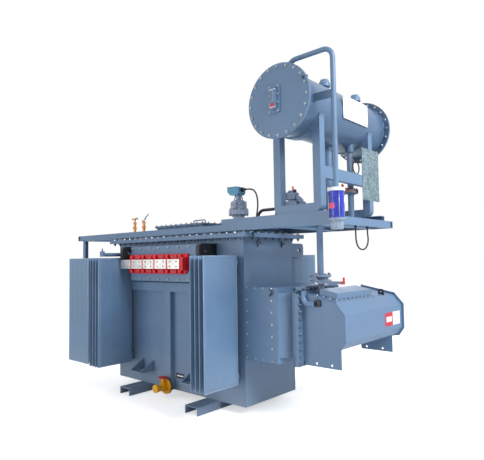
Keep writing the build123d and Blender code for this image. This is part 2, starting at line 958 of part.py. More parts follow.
# Hanging frame at the left end: two legs that drop from the end beam, with arms to the tank wall
hanging_leg_bottom_z = rim_z - hanging_leg_drop
arm_top_z = hanging_leg_bottom_z + beam_height
legs_of_frame = (
    (front_y + hanging_leg_inset - beam_width, True),
    (rear_y - hanging_leg_inset, False),
)
with BuildPart() as frame_left_legs:
    with BuildSketch(facing_right(frame_left_x)):
        rectangle_between(front_beam_y, rear_beam_y, beam_z, beam_top_z)
        for leg_y, web_in_front in legs_of_frame:
            rectangle_between(leg_y, leg_y + beam_width, hanging_leg_bottom_z, beam_z)
    extrude(amount=beam_width)
    with BuildSketch(facing_right(frame_left_x + beam_web)):
        rectangle_between(front_beam_y, rear_beam_y, beam_z + beam_flange, beam_top_z - beam_flange)
        for leg_y, web_in_front in legs_of_frame:
            rectangle_between(
                leg_y + beam_flange, leg_y + beam_width - beam_flange, arm_top_z, beam_z - beam_flange
            )
    extrude(amount=beam_width - beam_web, mode=Mode.SUBTRACT)
    for leg_y, web_in_front in legs_of_frame:
        with BuildSketch(facing_right(frame_left_x + beam_width)):
            channel_between(
                leg_y, leg_y + beam_width, hanging_leg_bottom_z, arm_top_z, web_in_front
            )
        extrude(amount=frame_left_reach - beam_width)
finish(frame_left_legs, "frame_left_legs")

# Upper beams under the conservator's frames
upper_left_x = wall_x + upper_beam_left_x
upper_right_x = wall_x + upper_beam_right_x
upper_beams = (
    ("upper_beam_front", front_beam_y, True),
    ("upper_beam_rear", front_y + support_rear_y, False),
)
for name, beam_y, web_in_front in upper_beams:
    with BuildPart() as upper_beam:
        with BuildSketch(facing_right(upper_left_x)):
            channel_between(
                beam_y, beam_y + upper_beam_width, beam_top_z, upper_beam_top_z, web_in_front
            )
        extrude(amount=upper_right_x - upper_left_x)
    finish(upper_beam, name)

# Conservator shell, with its end flanges, filler caps, nozzles and bracket pads
axis_x = wall_x + conservator_x
shell_front_y = front_y + front_cover_y + cover_thickness
shell_rear_y = front_y + rear_cover_y - cover_thickness
nozzle_radius = relay_pipe_diameter / 2 + nozzle_wall
cap_bottom_z = conservator_z + cap_rise
cap_top_z = cap_bottom_z + cap_height
breather_start_y = front_y + breather_y
breather_nozzle_z = conservator_z + shell_radius + breather_nozzle_rise
pad_x = axis_x + shell_radius + pad_reach
with BuildPart() as conservator_shell:
    with BuildSketch(facing_front(shell_rear_y)):
        with Locations((axis_x, conservator_z)):
            Circle(shell_radius)
    extrude(amount=shell_rear_y - shell_front_y)
    for flange_y in (shell_front_y + end_flange_thickness, shell_rear_y):
        with BuildSketch(facing_front(flange_y)):
            with Locations((axis_x, conservator_z)):
                Circle(end_flange_radius)
        extrude(amount=end_flange_thickness)
    with BuildSketch(level(nozzle_z)):
        with Locations((axis_x, front_y + relay_y), (wall_x + feed_x, front_y + feed_y)):
            Circle(nozzle_radius)
    extrude(amount=conservator_z - nozzle_z)
    with BuildSketch(level(conservator_z)):
        with Locations((axis_x, breather_start_y)):
            Circle(breather_pipe_diameter / 2 + breather_nozzle_wall)
    extrude(amount=breather_nozzle_z - conservator_z)
    for cap_y in cap_places_y:
        with BuildSketch(level(conservator_z)):
            with Locations((axis_x, front_y + cap_y)):
                Circle(cap_neck_diameter / 2)
        extrude(amount=cap_bottom_z - conservator_z)
    with BuildSketch(facing_right(axis_x)):
        for pad_y in (sign_pad_inset, sign_length - sign_pad_inset):
            with Locations((front_y + sign_front_y + pad_y, conservator_z)):
                Rectangle(sign_pad_width, sign_pad_height)
        rectangle_between(
            breather_start_y - arm_thickness,
            breather_start_y + arm_thickness,
            conservator_z - arm_height / 2,
            conservator_z + arm_height / 2,
        )
    extrude(amount=shell_radius + pad_reach)
    with BuildSketch(facing_front(shell_rear_y)):
        with Locations((axis_x, conservator_z)):
            Circle(shell_radius - shell_wall)
    extrude(amount=shell_rear_y - shell_front_y, mode=Mode.SUBTRACT)
finish(conservator_shell, "conservator_shell")

# Filler caps, mushroom shaped, on their necks
with BuildPart() as filler_caps:
    for cap_y in cap_places_y:
        with BuildSketch(facing_right(axis_x)):
            with BuildLine():
                cap_centre = front_y + cap_y
                Polyline(
                    (cap_centre, cap_bottom_z),
                    (cap_centre + cap_diameter / 2, cap_bottom_z),
                    (cap_centre + cap_diameter / 2, cap_bottom_z + cap_rim_height),
                    (cap_centre + cap_diameter / 3, cap_top_z),
                    (cap_centre, cap_top_z),
                    close=True,
                )
            make_face()
        revolve(axis=Axis((axis_x, cap_centre, 0), (0, 0, 1)))
finish(filler_caps, "filler_caps")

# Covers bolted on the conservator's two ends
for name, cover_y in (
    ("conservator_front_cover", shell_front_y),
    ("conservator_rear_cover", shell_rear_y + cover_thickness),
):
    with BuildPart() as cover:
        with BuildSketch(facing_front(cover_y)):
            with Locations((axis_x, conservator_z)):
                Circle(end_flange_radius)
        extrude(amount=cover_thickness)
    finish(cover, name)

# Oil level gauge on the front cover
gauge_z = conservator_z - gauge_drop + gauge_height / 2
with BuildPart() as oil_level_gauge:
    with BuildSketch(facing_front(shell_front_y - cover_thickness)):
        with Locations((wall_x + gauge_x, gauge_z)):
            RectangleRounded(gauge_width, gauge_height, gauge_corner)
    extrude(amount=gauge_plate)
    with BuildSketch(facing_front(shell_front_y - cover_thickness - gauge_plate)):
        with Locations((wall_x + gauge_x, gauge_z)):
            RectangleRounded(gauge_glass_width, gauge_glass_height, gauge_corner)
    extrude(amount=gauge_glass_depth)
finish(oil_level_gauge, "oil_level_gauge")

# Frames under the conservator: U-shaped, with a rolled saddle that fits the shell
saddle_radius = shell_radius + saddle_thickness
support_outer_left = wall_x + support_left_x
support_outer_right = wall_x + support_right_x
for name, frame_y in (
    ("support_frame_front", front_y + support_front_y),
    ("support_frame_rear", front_y + support_rear_y),
):
    with BuildPart() as support_frame:
        with BuildSketch(facing_front(frame_y + support_depth)) as support_outline:
            rectangle_between(
                support_outer_left, support_outer_right, upper_beam_top_z, conservator_z
            )
            fillet(support_outline.vertices().group_by(Axis.Y)[0], support_corner_radius)
            rectangle_between(
                support_outer_left + support_post_width,
                support_outer_right - support_post_width,
                upper_beam_top_z + support_post_width,
                conservator_z,
                mode=Mode.SUBTRACT,
            )
            with BuildSketch(facing_front(frame_y + support_depth), mode=Mode.PRIVATE) as saddle:
                with Locations((axis_x, conservator_z)):
                    Circle(saddle_radius)
                    rectangle_between(
                        -saddle_radius, saddle_radius, -saddle_drop, saddle_radius, Mode.SUBTRACT
                    )
            add(saddle.sketch_local)
            with Locations((axis_x, conservator_z)):
                Circle(shell_radius, mode=Mode.SUBTRACT)
            rectangle_between(
                support_outer_left,
                support_outer_right,
                conservator_z - support_post_drop,
                conservator_z,
                mode=Mode.SUBTRACT,
            )
        extrude(amount=support_depth)
    finish(support_frame, name)

# Tie beam between the two frames, and the bare plate beside it
with BuildPart() as tie_beam:
    with BuildSketch(facing_front(front_y + support_rear_y)):
        rectangle_between(
            support_outer_right - tie_beam_thickness,
            support_outer_right,
            upper_beam_top_z + tie_beam_rise,
            upper_beam_top_z + tie_beam_rise + tie_beam_height,
        )
    extrude(amount=support_rear_y - support_front_y - support_depth)
finish(tie_beam, "tie_beam")

with BuildPart() as back_plate:
    with BuildSketch(facing_right(support_outer_right)):
        rectangle_between(
            front_y + back_plate_front_y,
            front_y + back_plate_rear_y,
            upper_beam_top_z + back_plate_rise,
            upper_beam_top_z + back_plate_rise + back_plate_height,
        )
    extrude(amount=sheet_thickness)
finish(back_plate, "back_plate")

# Sign plate on the shell's pads
with BuildPart() as sign_plate:
    with BuildSketch(facing_right(pad_x)):
        rectangle_between(
            front_y + sign_front_y,
            front_y + sign_front_y + sign_length,
            conservator_z - sign_drop,
            conservator_z - sign_drop + sign_height,
        )
    extrude(amount=sheet_thickness)
finish(sign_plate, "sign_plate")

# Breather pipe, from the shell's nozzle over and down to the breather, with its arm to the shell
drop_x = wall_x + breather_x
breather_pipe_top_z = conservator_z + breather_pipe_rise
breather_cap_top_z = conservator_z - breather_pipe_drop
with BuildPart() as breather_pipe:
    with BuildLine() as breather_path:
        FilletPolyline(
            (axis_x, breather_start_y, breather_nozzle_z),
            (axis_x, breather_start_y, breather_pipe_top_z),
            (drop_x, breather_start_y, breather_pipe_top_z),
            (drop_x, breather_start_y, breather_cap_top_z),
            radius=breather_bend_radius,
        )
    with BuildSketch(level(breather_nozzle_z)):
        with Locations((axis_x, breather_start_y)):
            Circle(breather_pipe_diameter / 2)
    sweep()
    with BuildSketch(facing_front(breather_start_y + arm_thickness / 2)):
        rectangle_between(
            pad_x, drop_x, conservator_z - arm_height / 2, conservator_z + arm_height / 2
        )
    extrude(amount=arm_thickness)
finish(breather_pipe, "breather_pipe")

# Breather: a cap, the glass of drying gel and the cup under it
gel_top_z = breather_cap_top_z - breather_cap_height
gel_bottom_z = gel_top_z - breather_gel_height
ring_bottom_z = gel_bottom_z - breather_ring_height
with BuildPart() as breather_cap:
    with BuildSketch(level(gel_top_z)):
        with Locations((drop_x, breather_start_y)):
            Circle(breather_cap_diameter / 2)
    extrude(amount=breather_cap_height)
finish(breather_cap, "breather_cap")

with BuildPart() as breather_gel:
    with BuildSketch(level(gel_bottom_z)):
        with Locations((drop_x, breather_start_y)):
            Circle(breather_gel_diameter / 2)
    extrude(amount=breather_gel_height)
finish(breather_gel, "breather_gel")

with BuildPart() as breather_cup:
    with BuildSketch(level(ring_bottom_z)):
        with Locations((drop_x, breather_start_y)):
            Circle(breather_cap_diameter / 2)
    extrude(amount=breather_ring_height)
    with BuildSketch(level(ring_bottom_z - breather_cup_height)):
        with Locations((drop_x, breather_start_y)):
            Circle(breather_cup_diameter / 2)
    extrude(amount=breather_cup_height)
finish(breather_cup, "breather_cup")

# Gas relay in its pipe line from the lid to the conservator
relay_line_y = front_y + relay_y
relay_start_x = wall_x + relay_left_x
relay_end_x = wall_x + relay_right_x
with BuildPart() as gas_relay:
    with BuildSketch(facing_right(relay_start_x)):
        with Locations((relay_line_y, relay_z)):
            Circle(relay_flange_diameter / 2)
    extrude(amount=relay_flange_thickness)
    with BuildSketch(facing_right(relay_end_x - relay_flange_thickness)):
        with Locations((relay_line_y, relay_z)):
            Circle(relay_flange_diameter / 2)
    extrude(amount=relay_flange_thickness)
    with BuildSketch(facing_right(relay_start_x + relay_flange_thickness)):
        with Locations((relay_line_y, relay_z)):
            Circle(relay_neck_diameter / 2)
    extrude(amount=relay_end_x - relay_start_x - 2 * relay_flange_thickness)
    with BuildSketch(level(relay_z - relay_body_size / 2)):
        with Locations(((relay_start_x + relay_end_x) / 2, relay_line_y)):
            RectangleRounded(relay_body_length, relay_body_size, relay_body_corner)
    extrude(amount=relay_body_size)
    with BuildSketch(level(relay_z + relay_body_size / 2)):
        with Locations(((relay_start_x + relay_end_x) / 2, relay_line_y)):
            Circle(relay_cap_diameter / 2)
    extrude(amount=relay_cap_height)
finish(gas_relay, "gas_relay")

relay_turn_x = wall_x + relay_drop_x
relay_entry = wall_x + relay_entry_x
relay_run_z = lid_top_z + relay_run_rise
with BuildPart() as relay_pipe:
    with BuildLine() as relay_tank_path:
        FilletPolyline(
            (relay_entry, relay_line_y, lid_top_z),
            (relay_entry, relay_line_y, relay_run_z),
            (relay_turn_x, relay_line_y, relay_run_z),
            (relay_turn_x, relay_line_y, relay_z),
            (relay_start_x, relay_line_y, relay_z),
            radius=relay_pipe_bend,
        )
    with BuildSketch(level(lid_top_z)):
        with Locations((relay_entry, relay_line_y)):
            Circle(relay_pipe_diameter / 2)
    sweep()
finish(relay_pipe, "relay_pipe")

with BuildPart() as conservator_pipe:
    with BuildLine() as relay_shell_path:
        FilletPolyline(
            (relay_end_x, relay_line_y, relay_z),
            (axis_x, relay_line_y, relay_z),
            (axis_x, relay_line_y, nozzle_z),
            radius=relay_pipe_diameter,
        )
    with BuildSketch(facing_right(relay_end_x)):
        with Locations((relay_line_y, relay_z)):
            Circle(relay_pipe_diameter / 2)
    sweep()
finish(conservator_pipe, "conservator_pipe")

# Riser valve on the cable box, with the stem that its lever turns on
riser_axis_x = wall_x + riser_x
riser_axis_y = front_y + riser_y
valve_middle_z = (riser_valve_bottom_z + riser_valve_top_z) / 2
lever_plane_y = riser_axis_y - valve_flange_diameter / 2 - lever_gap
with BuildPart() as riser_valve:
    with BuildSketch(level(box_top_at(riser_axis_x + feed_pipe_diameter))):
        with Locations((riser_axis_x, riser_axis_y)):
            Circle(feed_pipe_diameter / 2)
    extrude(amount=riser_valve_bottom_z - box_top_at(riser_axis_x + feed_pipe_diameter))
    with BuildSketch(facing_front(riser_axis_y + trim_reach)):
        with BuildLine():
            Polyline(
                (box_left_x - trim_reach, box_top_at(box_left_x - trim_reach)),
                (box_top_edge_x + trim_reach, box_top_at(box_top_edge_x + trim_reach)),
                (box_top_edge_x + trim_reach, box_left_bottom_z),
                (box_left_x - trim_reach, box_left_bottom_z),
                close=True,
            )
        make_face()
    extrude(amount=2 * trim_reach, mode=Mode.SUBTRACT)
    for flange_z in (riser_valve_bottom_z, riser_valve_top_z - valve_flange_thickness):
        with BuildSketch(level(flange_z)):
            with Locations((riser_axis_x, riser_axis_y)):
                Circle(valve_flange_diameter / 2)
        extrude(amount=valve_flange_thickness)
    with BuildSketch(level(riser_valve_bottom_z)):
        with Locations((riser_axis_x, riser_axis_y)):
            Circle(riser_valve_body_diameter / 2)
    extrude(amount=riser_valve_top_z - riser_valve_bottom_z)
    with BuildSketch(facing_front(riser_axis_y)):
        with Locations((riser_axis_x, valve_middle_z)):
            Circle(lever_stem_diameter / 2 + lever_boss_wall)
    extrude(amount=riser_axis_y - lever_plane_y - 1)
    with BuildSketch(facing_front(riser_axis_y)):
        with Locations((riser_axis_x, valve_middle_z)):
            Circle(lever_stem_diameter / 2)
    extrude(amount=riser_axis_y - lever_plane_y + lever_thickness + lever_stem_end)
finish(riser_valve, "riser_valve")

# Lever of the riser valve
crank_x = riser_axis_x + lever_crank_end
handle_z = valve_middle_z - lever_drop
with BuildPart() as isolating_lever:
    with BuildSketch(facing_front(lever_plane_y)):
        with Locations((riser_axis_x, valve_middle_z)):
            Circle(lever_hub_diameter / 2)
            with BuildLine():
                Polyline(
                    (riser_axis_x, valve_middle_z - lever_width / 2),
                    (crank_x - lever_crank_start, handle_z - lever_width / 2),
                    (riser_axis_x + lever_length, handle_z - lever_width / 2),
                    (riser_axis_x + lever_length, handle_z + lever_width / 2),
                    (crank_x, handle_z + lever_width / 2),
                    (riser_axis_x + lever_crank_start, valve_middle_z + lever_width / 2),
                    close=True,
                )
        make_face()
        with Locations((riser_axis_x, valve_middle_z)):
            Circle(lever_stem_diameter / 2 + running_clearance, mode=Mode.SUBTRACT)
    extrude(amount=lever_thickness)
finish(isolating_lever, "isolating_lever")

# Feed pipe from the riser valve through the top frame to the valve under the conservator
feed_axis_x = wall_x + feed_x
feed_axis_y = front_y + feed_y
feed_run_z = lid_top_z + feed_run_rise
conservator_valve_bottom_z = upper_beam_top_z + conservator_valve_rise
conservator_valve_top_z = conservator_valve_bottom_z + conservator_valve_height
with BuildPart() as feed_pipe:
    with BuildLine() as feed_path:
        FilletPolyline(
            (riser_axis_x, riser_axis_y, riser_valve_top_z),
            (riser_axis_x, riser_axis_y, feed_run_z),
            (feed_axis_x, riser_axis_y, feed_run_z),
            (feed_axis_x, feed_axis_y, feed_run_z),
            (feed_axis_x, feed_axis_y, conservator_valve_bottom_z),
            radius=feed_bend_radius,
        )
    with BuildSketch(level(riser_valve_top_z)):
        with Locations((riser_axis_x, riser_axis_y)):
            Circle(feed_pipe_diameter / 2)
    sweep()
finish(feed_pipe, "feed_pipe")

# Valve under the conservator, with the pipe on to the shell's nozzle
with BuildPart() as conservator_valve:
    with BuildSketch(level(conservator_valve_bottom_z)):
        with Locations((feed_axis_x, feed_axis_y)):
            Circle(conservator_valve_diameter / 2)
    extrude(amount=conservator_valve_height)
    with BuildSketch(level(conservator_valve_top_z)):
        with Locations((feed_axis_x, feed_axis_y)):
            Circle(feed_pipe_diameter / 2)
    extrude(amount=nozzle_z - conservator_valve_top_z)
finish(conservator_valve, "conservator_valve")

# Hatch on the lid: a box with a bolted cover and a handle
hatch_box_x = left_wall_x + hatch_box_inset_left
hatch_box_length = tank_length - hatch_box_inset_left - hatch_box_inset_right
hatch_box_top_z = lid_top_z + hatch_box_height
handle_x = hatch_box_x + hatch_box_length - handle_inset
with BuildPart() as lid_hatch:
    with BuildSketch(level(lid_top_z)):
        with Locations((hatch_box_x + hatch_box_length / 2, 0)):
            Rectangle(hatch_box_length - 2 * hatch_box_lip, hatch_box_width - 2 * hatch_box_lip)
    extrude(amount=hatch_box_height - hatch_box_plate)
    with BuildSketch(level(hatch_box_top_z - hatch_box_plate)):
        with Locations((hatch_box_x + hatch_box_length / 2, 0)):
            Rectangle(hatch_box_length, hatch_box_width)
    extrude(amount=hatch_box_plate)
    with BuildLine() as handle_path:
        FilletPolyline(
            (handle_x - handle_width / 2, 0, hatch_box_top_z),
            (handle_x - handle_width / 2, 0, hatch_box_top_z + handle_height),
            (handle_x + handle_width / 2, 0, hatch_box_top_z + handle_height),
            (handle_x + handle_width / 2, 0, hatch_box_top_z),
            radius=handle_bend,
        )
    with BuildSketch(level(hatch_box_top_z)):
        with Locations((handle_x - handle_width / 2, 0)):
            Circle(handle_rod / 2)
    sweep()
finish(lid_hatch, "lid_hatch")

# Thermometer pockets on the lid
with BuildPart() as thermometer_pockets:
    with BuildSketch(level(lid_top_z)):
        for inset in pocket_insets:
            with Locations((left_wall_x + inset, front_y + pocket_y)):
                Circle(pocket_diameter / 2)
    extrude(amount=pocket_height)
finish(thermometer_pockets, "thermometer_pockets")

# Pressure relief device: a stub, a pair of flanges, a dome and a neck, turned about its axis
relief_x = wall_x - relief_inset
relief_flange_bottom_z = lid_top_z + relief_stub_height
relief_flange_top_z = relief_flange_bottom_z + relief_flange_height
relief_dome_top_z = relief_flange_top_z + relief_dome_height
relief_head_bottom_z = relief_dome_top_z + relief_neck_height
relief_head_top_z = relief_head_bottom_z + relief_head_height
with BuildPart() as relief_device:
    with BuildSketch(facing_front(0)):
        with BuildLine():
            Polyline(
                (relief_x, lid_top_z),
                (relief_x + relief_stub_diameter / 2, lid_top_z),
                (relief_x + relief_stub_diameter / 2, relief_flange_bottom_z),
                (relief_x + relief_flange_diameter / 2, relief_flange_bottom_z),
                (relief_x + relief_flange_diameter / 2, relief_flange_top_z),
                (relief_x + relief_dome_diameter / 2, relief_flange_top_z),
                (relief_x + relief_dome_diameter / 2, relief_dome_top_z - relief_dome_slope),
                (relief_x + relief_neck_diameter / 2, relief_dome_top_z),
                (relief_x + relief_neck_diameter / 2, relief_head_bottom_z),
                (relief_x, relief_head_bottom_z),
                close=True,
            )
        make_face()
    revolve(axis=Axis((relief_x, 0, 0), (0, 0, 1)))
finish(relief_device, "relief_device")

relief_head_right_x = relief_x + relief_head_right
with BuildPart() as relief_device_head:
    with BuildSketch(facing_front(relief_head_depth / 2)):
        with BuildLine():
            Polyline(
                (relief_x - relief_head_left + 2 * relief_head_corner, relief_head_bottom_z),
                (relief_head_right_x - relief_head_corner, relief_head_bottom_z),
                (relief_head_right_x, relief_head_bottom_z + relief_head_corner),
                (relief_head_right_x, relief_head_top_z - relief_head_corner / 2),
                (relief_head_right_x - relief_head_corner, relief_head_top_z),
                (relief_x - relief_head_left, relief_head_top_z - relief_head_corner / 2),
                (relief_x - relief_head_left, relief_head_bottom_z + 2 * relief_head_corner),
                close=True,
            )
        make_face()
    extrude(amount=relief_head_depth)
finish(relief_device_head, "relief_device_head")

# Vent pipe over the front left radiator, with its valve, and the elbow on the cable box's front wall
vent_x = left_wall_x + front_left_radiator_inset
vent_z = radiator_bottom_z + radiator_height + vent_pipe_rise
elbow_x = box_left_x + elbow_diameter / 2
elbow_y = front_y + box_front_y - elbow_diameter / 2
eye_left_x = wall_x + front_eye_x - front_eye_width / 2
with BuildPart() as vent_pipes:
    with BuildSketch(facing_front(front_y)):
        with Locations((vent_x, vent_z)):
            Circle(vent_pipe_diameter / 2)
    extrude(amount=vent_pipe_reach)
    with BuildSketch(level(vent_z - vent_pipe_diameter / 2)):
        with Locations((vent_x, front_y - vent_pipe_reach)):
            Circle(vent_valve_diameter / 2)
    extrude(amount=vent_valve_height)
    with BuildSketch(level(vent_z - vent_pipe_diameter / 2 + vent_valve_height)):
        with Locations((vent_x, front_y - vent_pipe_reach)):
            Circle(vent_stem_diameter / 2)
    extrude(amount=vent_stem_height)
    with BuildLine() as elbow_path:
        FilletPolyline(
            (elbow_x, elbow_y, elbow_top_z),
            (elbow_x, elbow_y, elbow_bottom_z),
            (eye_left_x, elbow_y, elbow_bottom_z),
            radius=elbow_bend_radius,
        )
    with BuildSketch(Plane(origin=elbow_path.line @ 0, z_dir=elbow_path.line % 0)):
        Circle(elbow_diameter / 2)
    sweep()
finish(vent_pipes, "vent_pipes")

# Conduit from the lid to the gas relay's body
relay_body_front_y = relay_line_y - relay_body_size / 2
with BuildPart() as relay_conduit:
    with BuildLine() as conduit_path:
        FilletPolyline(
            (wall_x + conduit_foot_x, front_y + conduit_y, lid_top_z),
            (wall_x + conduit_foot_x, front_y + conduit_y, relay_z),
            (wall_x + conduit_end_x, front_y + conduit_y, relay_z),
            (wall_x + conduit_end_x, relay_body_front_y, relay_z),
            radius=conduit_bend_radius,
        )
    with BuildSketch(level(lid_top_z)):
        with Locations((wall_x + conduit_foot_x, front_y + conduit_y)):
            Circle(conduit_diameter / 2)
    sweep()
finish(relay_conduit, "relay_conduit")


def route_radii(points, name):
    """The radius at each corner of a cable's route, as large as its two runs allow."""
    radii = []
    runs = [after - before for before, after in zip(points, points[1:])]
    for run, next_run in zip(runs, runs[1:]):
        half_turn = radians(run.get_angle(next_run)) / 2
        radii.append(arc_share * min(run.length, next_run.length) / tan(half_turn))
    print(name, "radii", [round(radius) for radius in radii])
    return radii


def print_cable(cable, path, diameter):
    """Compares the cable's volume with its section times its length."""
    length = sum(edge.length for edge in path.edges())
    print("length", round(length), "volume", cable.part.volume / (length * pi * diameter**2 / 4))


# Cable of the relief device: out of its strain relief, over and down to a gland on the lid
relief_route = [
    Vector(wall_x + x, 0, lid_top_z + z)
    for x, z in (
        (-295, 485),
        (-230, 485),
        (-173, 453),
        (-146, 388),
        (-139, 300),
        (-156, 212),
        (-170, 130),
        (-177.5, 74),
        (-177.5, 25),
    )
]
with BuildPart() as relief_cable:
    with BuildLine() as relief_path:
        FilletPolyline(*relief_route, radius=route_radii(relief_route, "relief_cable"))
    with BuildSketch(Plane(origin=relief_path.line @ 0, z_dir=relief_path.line % 0)):
        Circle(relief_cable_diameter / 2)
    sweep()
finish(relief_cable, "relief_cable")
print_cable(relief_cable, relief_path, relief_cable_diameter)

# Cable that hangs in a loop under the top frame's end member
gauge_route = [
    Vector(end_member_x, front_y + y, beam_z - drop)
    for y, drop in (
        (262, 20),
        (262, 74),
        (266, 134),
        (298, 182),
        (352, 203),
        (412, 200),
        (464, 170),
        (488, 117),
        (474, 64),
        (474, 20),
    )
]
with BuildPart() as gauge_cable:
    with BuildLine() as gauge_path:
        FilletPolyline(*gauge_route, radius=route_radii(gauge_route, "gauge_cable"))
    with BuildSketch(Plane(origin=gauge_path.line @ 0, z_dir=gauge_path.line % 0)):
        Circle(gauge_cable_diameter / 2)
    sweep()
finish(gauge_cable, "gauge_cable")
print_cable(gauge_cable, gauge_path, gauge_cable_diameter)

# Glands: one on the lid, two under the end member, and the relief device's tapered strain relief
with BuildPart() as cable_glands:
    with BuildSketch(level(lid_top_z)):
        with Locations((relief_route[-1].X, relief_route[-1].Y)):
            Circle(gland_diameter / 2)
    extrude(amount=gland_height)
    with BuildSketch(level(beam_z - beam_gland_height)):
        with Locations(
            (gauge_route[0].X, gauge_route[0].Y), (gauge_route[-1].X, gauge_route[-1].Y)
        ):
            Circle(beam_gland_diameter / 2)
    extrude(amount=beam_gland_height)
    with BuildSketch(facing_right(relief_head_right_x)) as relief_gland_start:
        with Locations((0, relief_route[0].Z)):
            Circle(strain_relief_start / 2)
    with BuildSketch(facing_right(relief_head_right_x + strain_relief_length)):
        with Locations((0, relief_route[0].Z)):
            Circle(strain_relief_end / 2)
    loft()
finish(cable_glands, "cable_glands")
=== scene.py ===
"""Visual model of a power transformer: finishes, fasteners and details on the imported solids."""

import math

import bmesh
import bpy
import numpy as np
from mathutils import Matrix, Vector


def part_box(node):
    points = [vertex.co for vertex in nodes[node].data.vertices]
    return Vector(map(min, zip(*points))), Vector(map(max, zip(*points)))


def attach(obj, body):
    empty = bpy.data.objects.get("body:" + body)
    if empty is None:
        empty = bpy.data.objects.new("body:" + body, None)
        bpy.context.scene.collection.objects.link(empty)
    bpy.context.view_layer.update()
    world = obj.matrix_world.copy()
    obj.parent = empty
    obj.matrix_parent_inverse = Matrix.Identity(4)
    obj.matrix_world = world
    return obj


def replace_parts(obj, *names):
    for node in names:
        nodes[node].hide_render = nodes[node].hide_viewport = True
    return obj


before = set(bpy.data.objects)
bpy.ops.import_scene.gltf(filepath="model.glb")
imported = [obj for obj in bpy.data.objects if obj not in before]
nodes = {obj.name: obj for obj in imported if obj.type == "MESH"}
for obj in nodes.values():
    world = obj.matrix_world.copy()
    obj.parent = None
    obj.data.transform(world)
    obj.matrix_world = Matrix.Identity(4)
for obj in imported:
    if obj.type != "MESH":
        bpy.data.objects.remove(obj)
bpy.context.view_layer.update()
chance = np.random.default_rng(7)

# Shapes are in millimetres until they are built. Materials, cables, lamps and camera are in metres.
MM = 0.001
low = {name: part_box(name)[0] / MM for name in nodes}
high = {name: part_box(name)[1] / MM for name in nodes}
middle = {name: (low[name] + high[name]) / 2 for name in nodes}

CENTRE = Vector((0, 0, 0))
FRONT, BACK = Vector((0, -1, 0)), Vector((0, 1, 0))
LEFT, RIGHT = Vector((-1, 0, 0)), Vector((1, 0, 0))
UP, DOWN = Vector((0, 0, 1)), Vector((0, 0, -1))
TOP_FACE, FRONT_FACE = (0, 1), (0, 2)

# The camera, in metres and degrees, worked out from the photograph's vanishing points
CAMERA_PLACE = (3.820, -3.749, 1.447)
CAMERA_YAW, CAMERA_PITCH, CAMERA_ROLL = 41.54, 3.462, -0.875
CAMERA_LENS = 35.42

# Radiator panels and their headers
PANEL_COUNT_FRONT, PANEL_PITCH_FRONT = 4, 56
PANEL_COUNT_SIDE, PANEL_PITCH_SIDE = 7, 57
PANEL_WIDTH = 434
PANEL_HALF = 9
PANEL_SEAM = 13
PANEL_SEAM_HALF = 3
PANEL_SHOULDER = 16
PANEL_EDGE_RADIUS = 3.8
FLUTE_COUNT, FLUTE_DEPTH = 4, 1.4
HEADER_MARGIN = 66
HEADER_RADIUS = 38
SIDE_HEADER_Y = 120
WALL_GAP = 60

# Tank walls and the rim that the lid is bolted on
RIM_THICKNESS = 20
RIM_OVERHANG = 90
TANK_LEFT = low["tank_lid"].x + RIM_OVERHANG
TANK_RIGHT = high["tank_lid"].x - RIM_OVERHANG
TANK_FRONT = low["tank_lid"].y + RIM_OVERHANG
TANK_BACK = high["tank_lid"].y - RIM_OVERHANG
BAND_Z = (1109, 1204)
BRACKET_X, BRACKET_HALF = (-586.75, 261.25), 98
THROAT_Z = (523, 1187)

# The cable box's profile as x and z, from its flange over the slope and down to the underside
BOX_PROFILE = (
    (1426.25, 1135), (1756.25, 1070), (1841.25, 973),
    (1841.25, 752), (1796.25, 687), (1426.25, 630),
)

# Axes and places that several details share
SHELL = middle["conservator_shell"]
SHELL_RADIUS = 259
RISER_X, RISER_Y = 1509.25, -90
RELAY = Vector((middle["gas_relay"].x, middle["gas_relay"].y, low["gas_relay"].z + 70))
RELIEF_FLANGE = Vector((middle["relief_device"].x, 0, low["relief_device"].z + 274))
UPPER_VALVE = middle["conservator_valve"].copy()
UPPER_VALVE.z = low["conservator_valve"].z + 33
DRAIN_FLANGE = Vector((middle["drain_valve_body"].x, -470, 121))
DRAIN_STEM_Y = -47
DRAIN_BOLT_CIRCLE = (64, 8, 0.39)
BREATHER_VIEW_SIDE = -1.044
TERMINAL_COUNT = 5

# Weld beads by their radius
BEAD, THIN_BEAD, CORNER_BEAD = 3.5, 3, 2.5


def put(name, data):
    """A new object in the scene."""
    thing = bpy.data.objects.new(name, data)
    bpy.context.collection.objects.link(thing)
    return thing


def add_camera():
    """Puts the camera where the photograph was taken from."""
    yaw, pitch, roll = (math.radians(v) for v in (CAMERA_YAW, CAMERA_PITCH, CAMERA_ROLL))
    forward = Vector(
        (-math.sin(yaw) * math.cos(pitch), math.cos(yaw) * math.cos(pitch), math.sin(pitch))
    )
    level_right = Vector((math.cos(yaw), math.sin(yaw), 0))
    level_up = level_right.cross(forward)
    right = math.cos(roll) * level_right + math.sin(roll) * level_up
    up = math.cos(roll) * level_up - math.sin(roll) * level_right
    data = bpy.data.cameras.new("camera")
    data.lens = CAMERA_LENS
    data.clip_end = 60
    camera = put("camera", data)
    turn = Matrix((right, up, -forward)).transposed().to_4x4()
    camera.matrix_world = Matrix.Translation(CAMERA_PLACE) @ turn
    bpy.context.scene.camera = camera


# Materials


def srgb(red, green, blue):
    """A colour given as 0 to 255 in sRGB, as the linear values that a shader takes."""
    def linear(value):
        value /= 255
        return value / 12.92 if value <= 0.04045 else ((value + 0.055) / 1.055) ** 2.4
    return (linear(red), linear(green), linear(blue), 1)


def shade(colour, factor):
    """The colour made darker or lighter."""
    return (colour[0] * factor, colour[1] * factor, colour[2] * factor, 1)


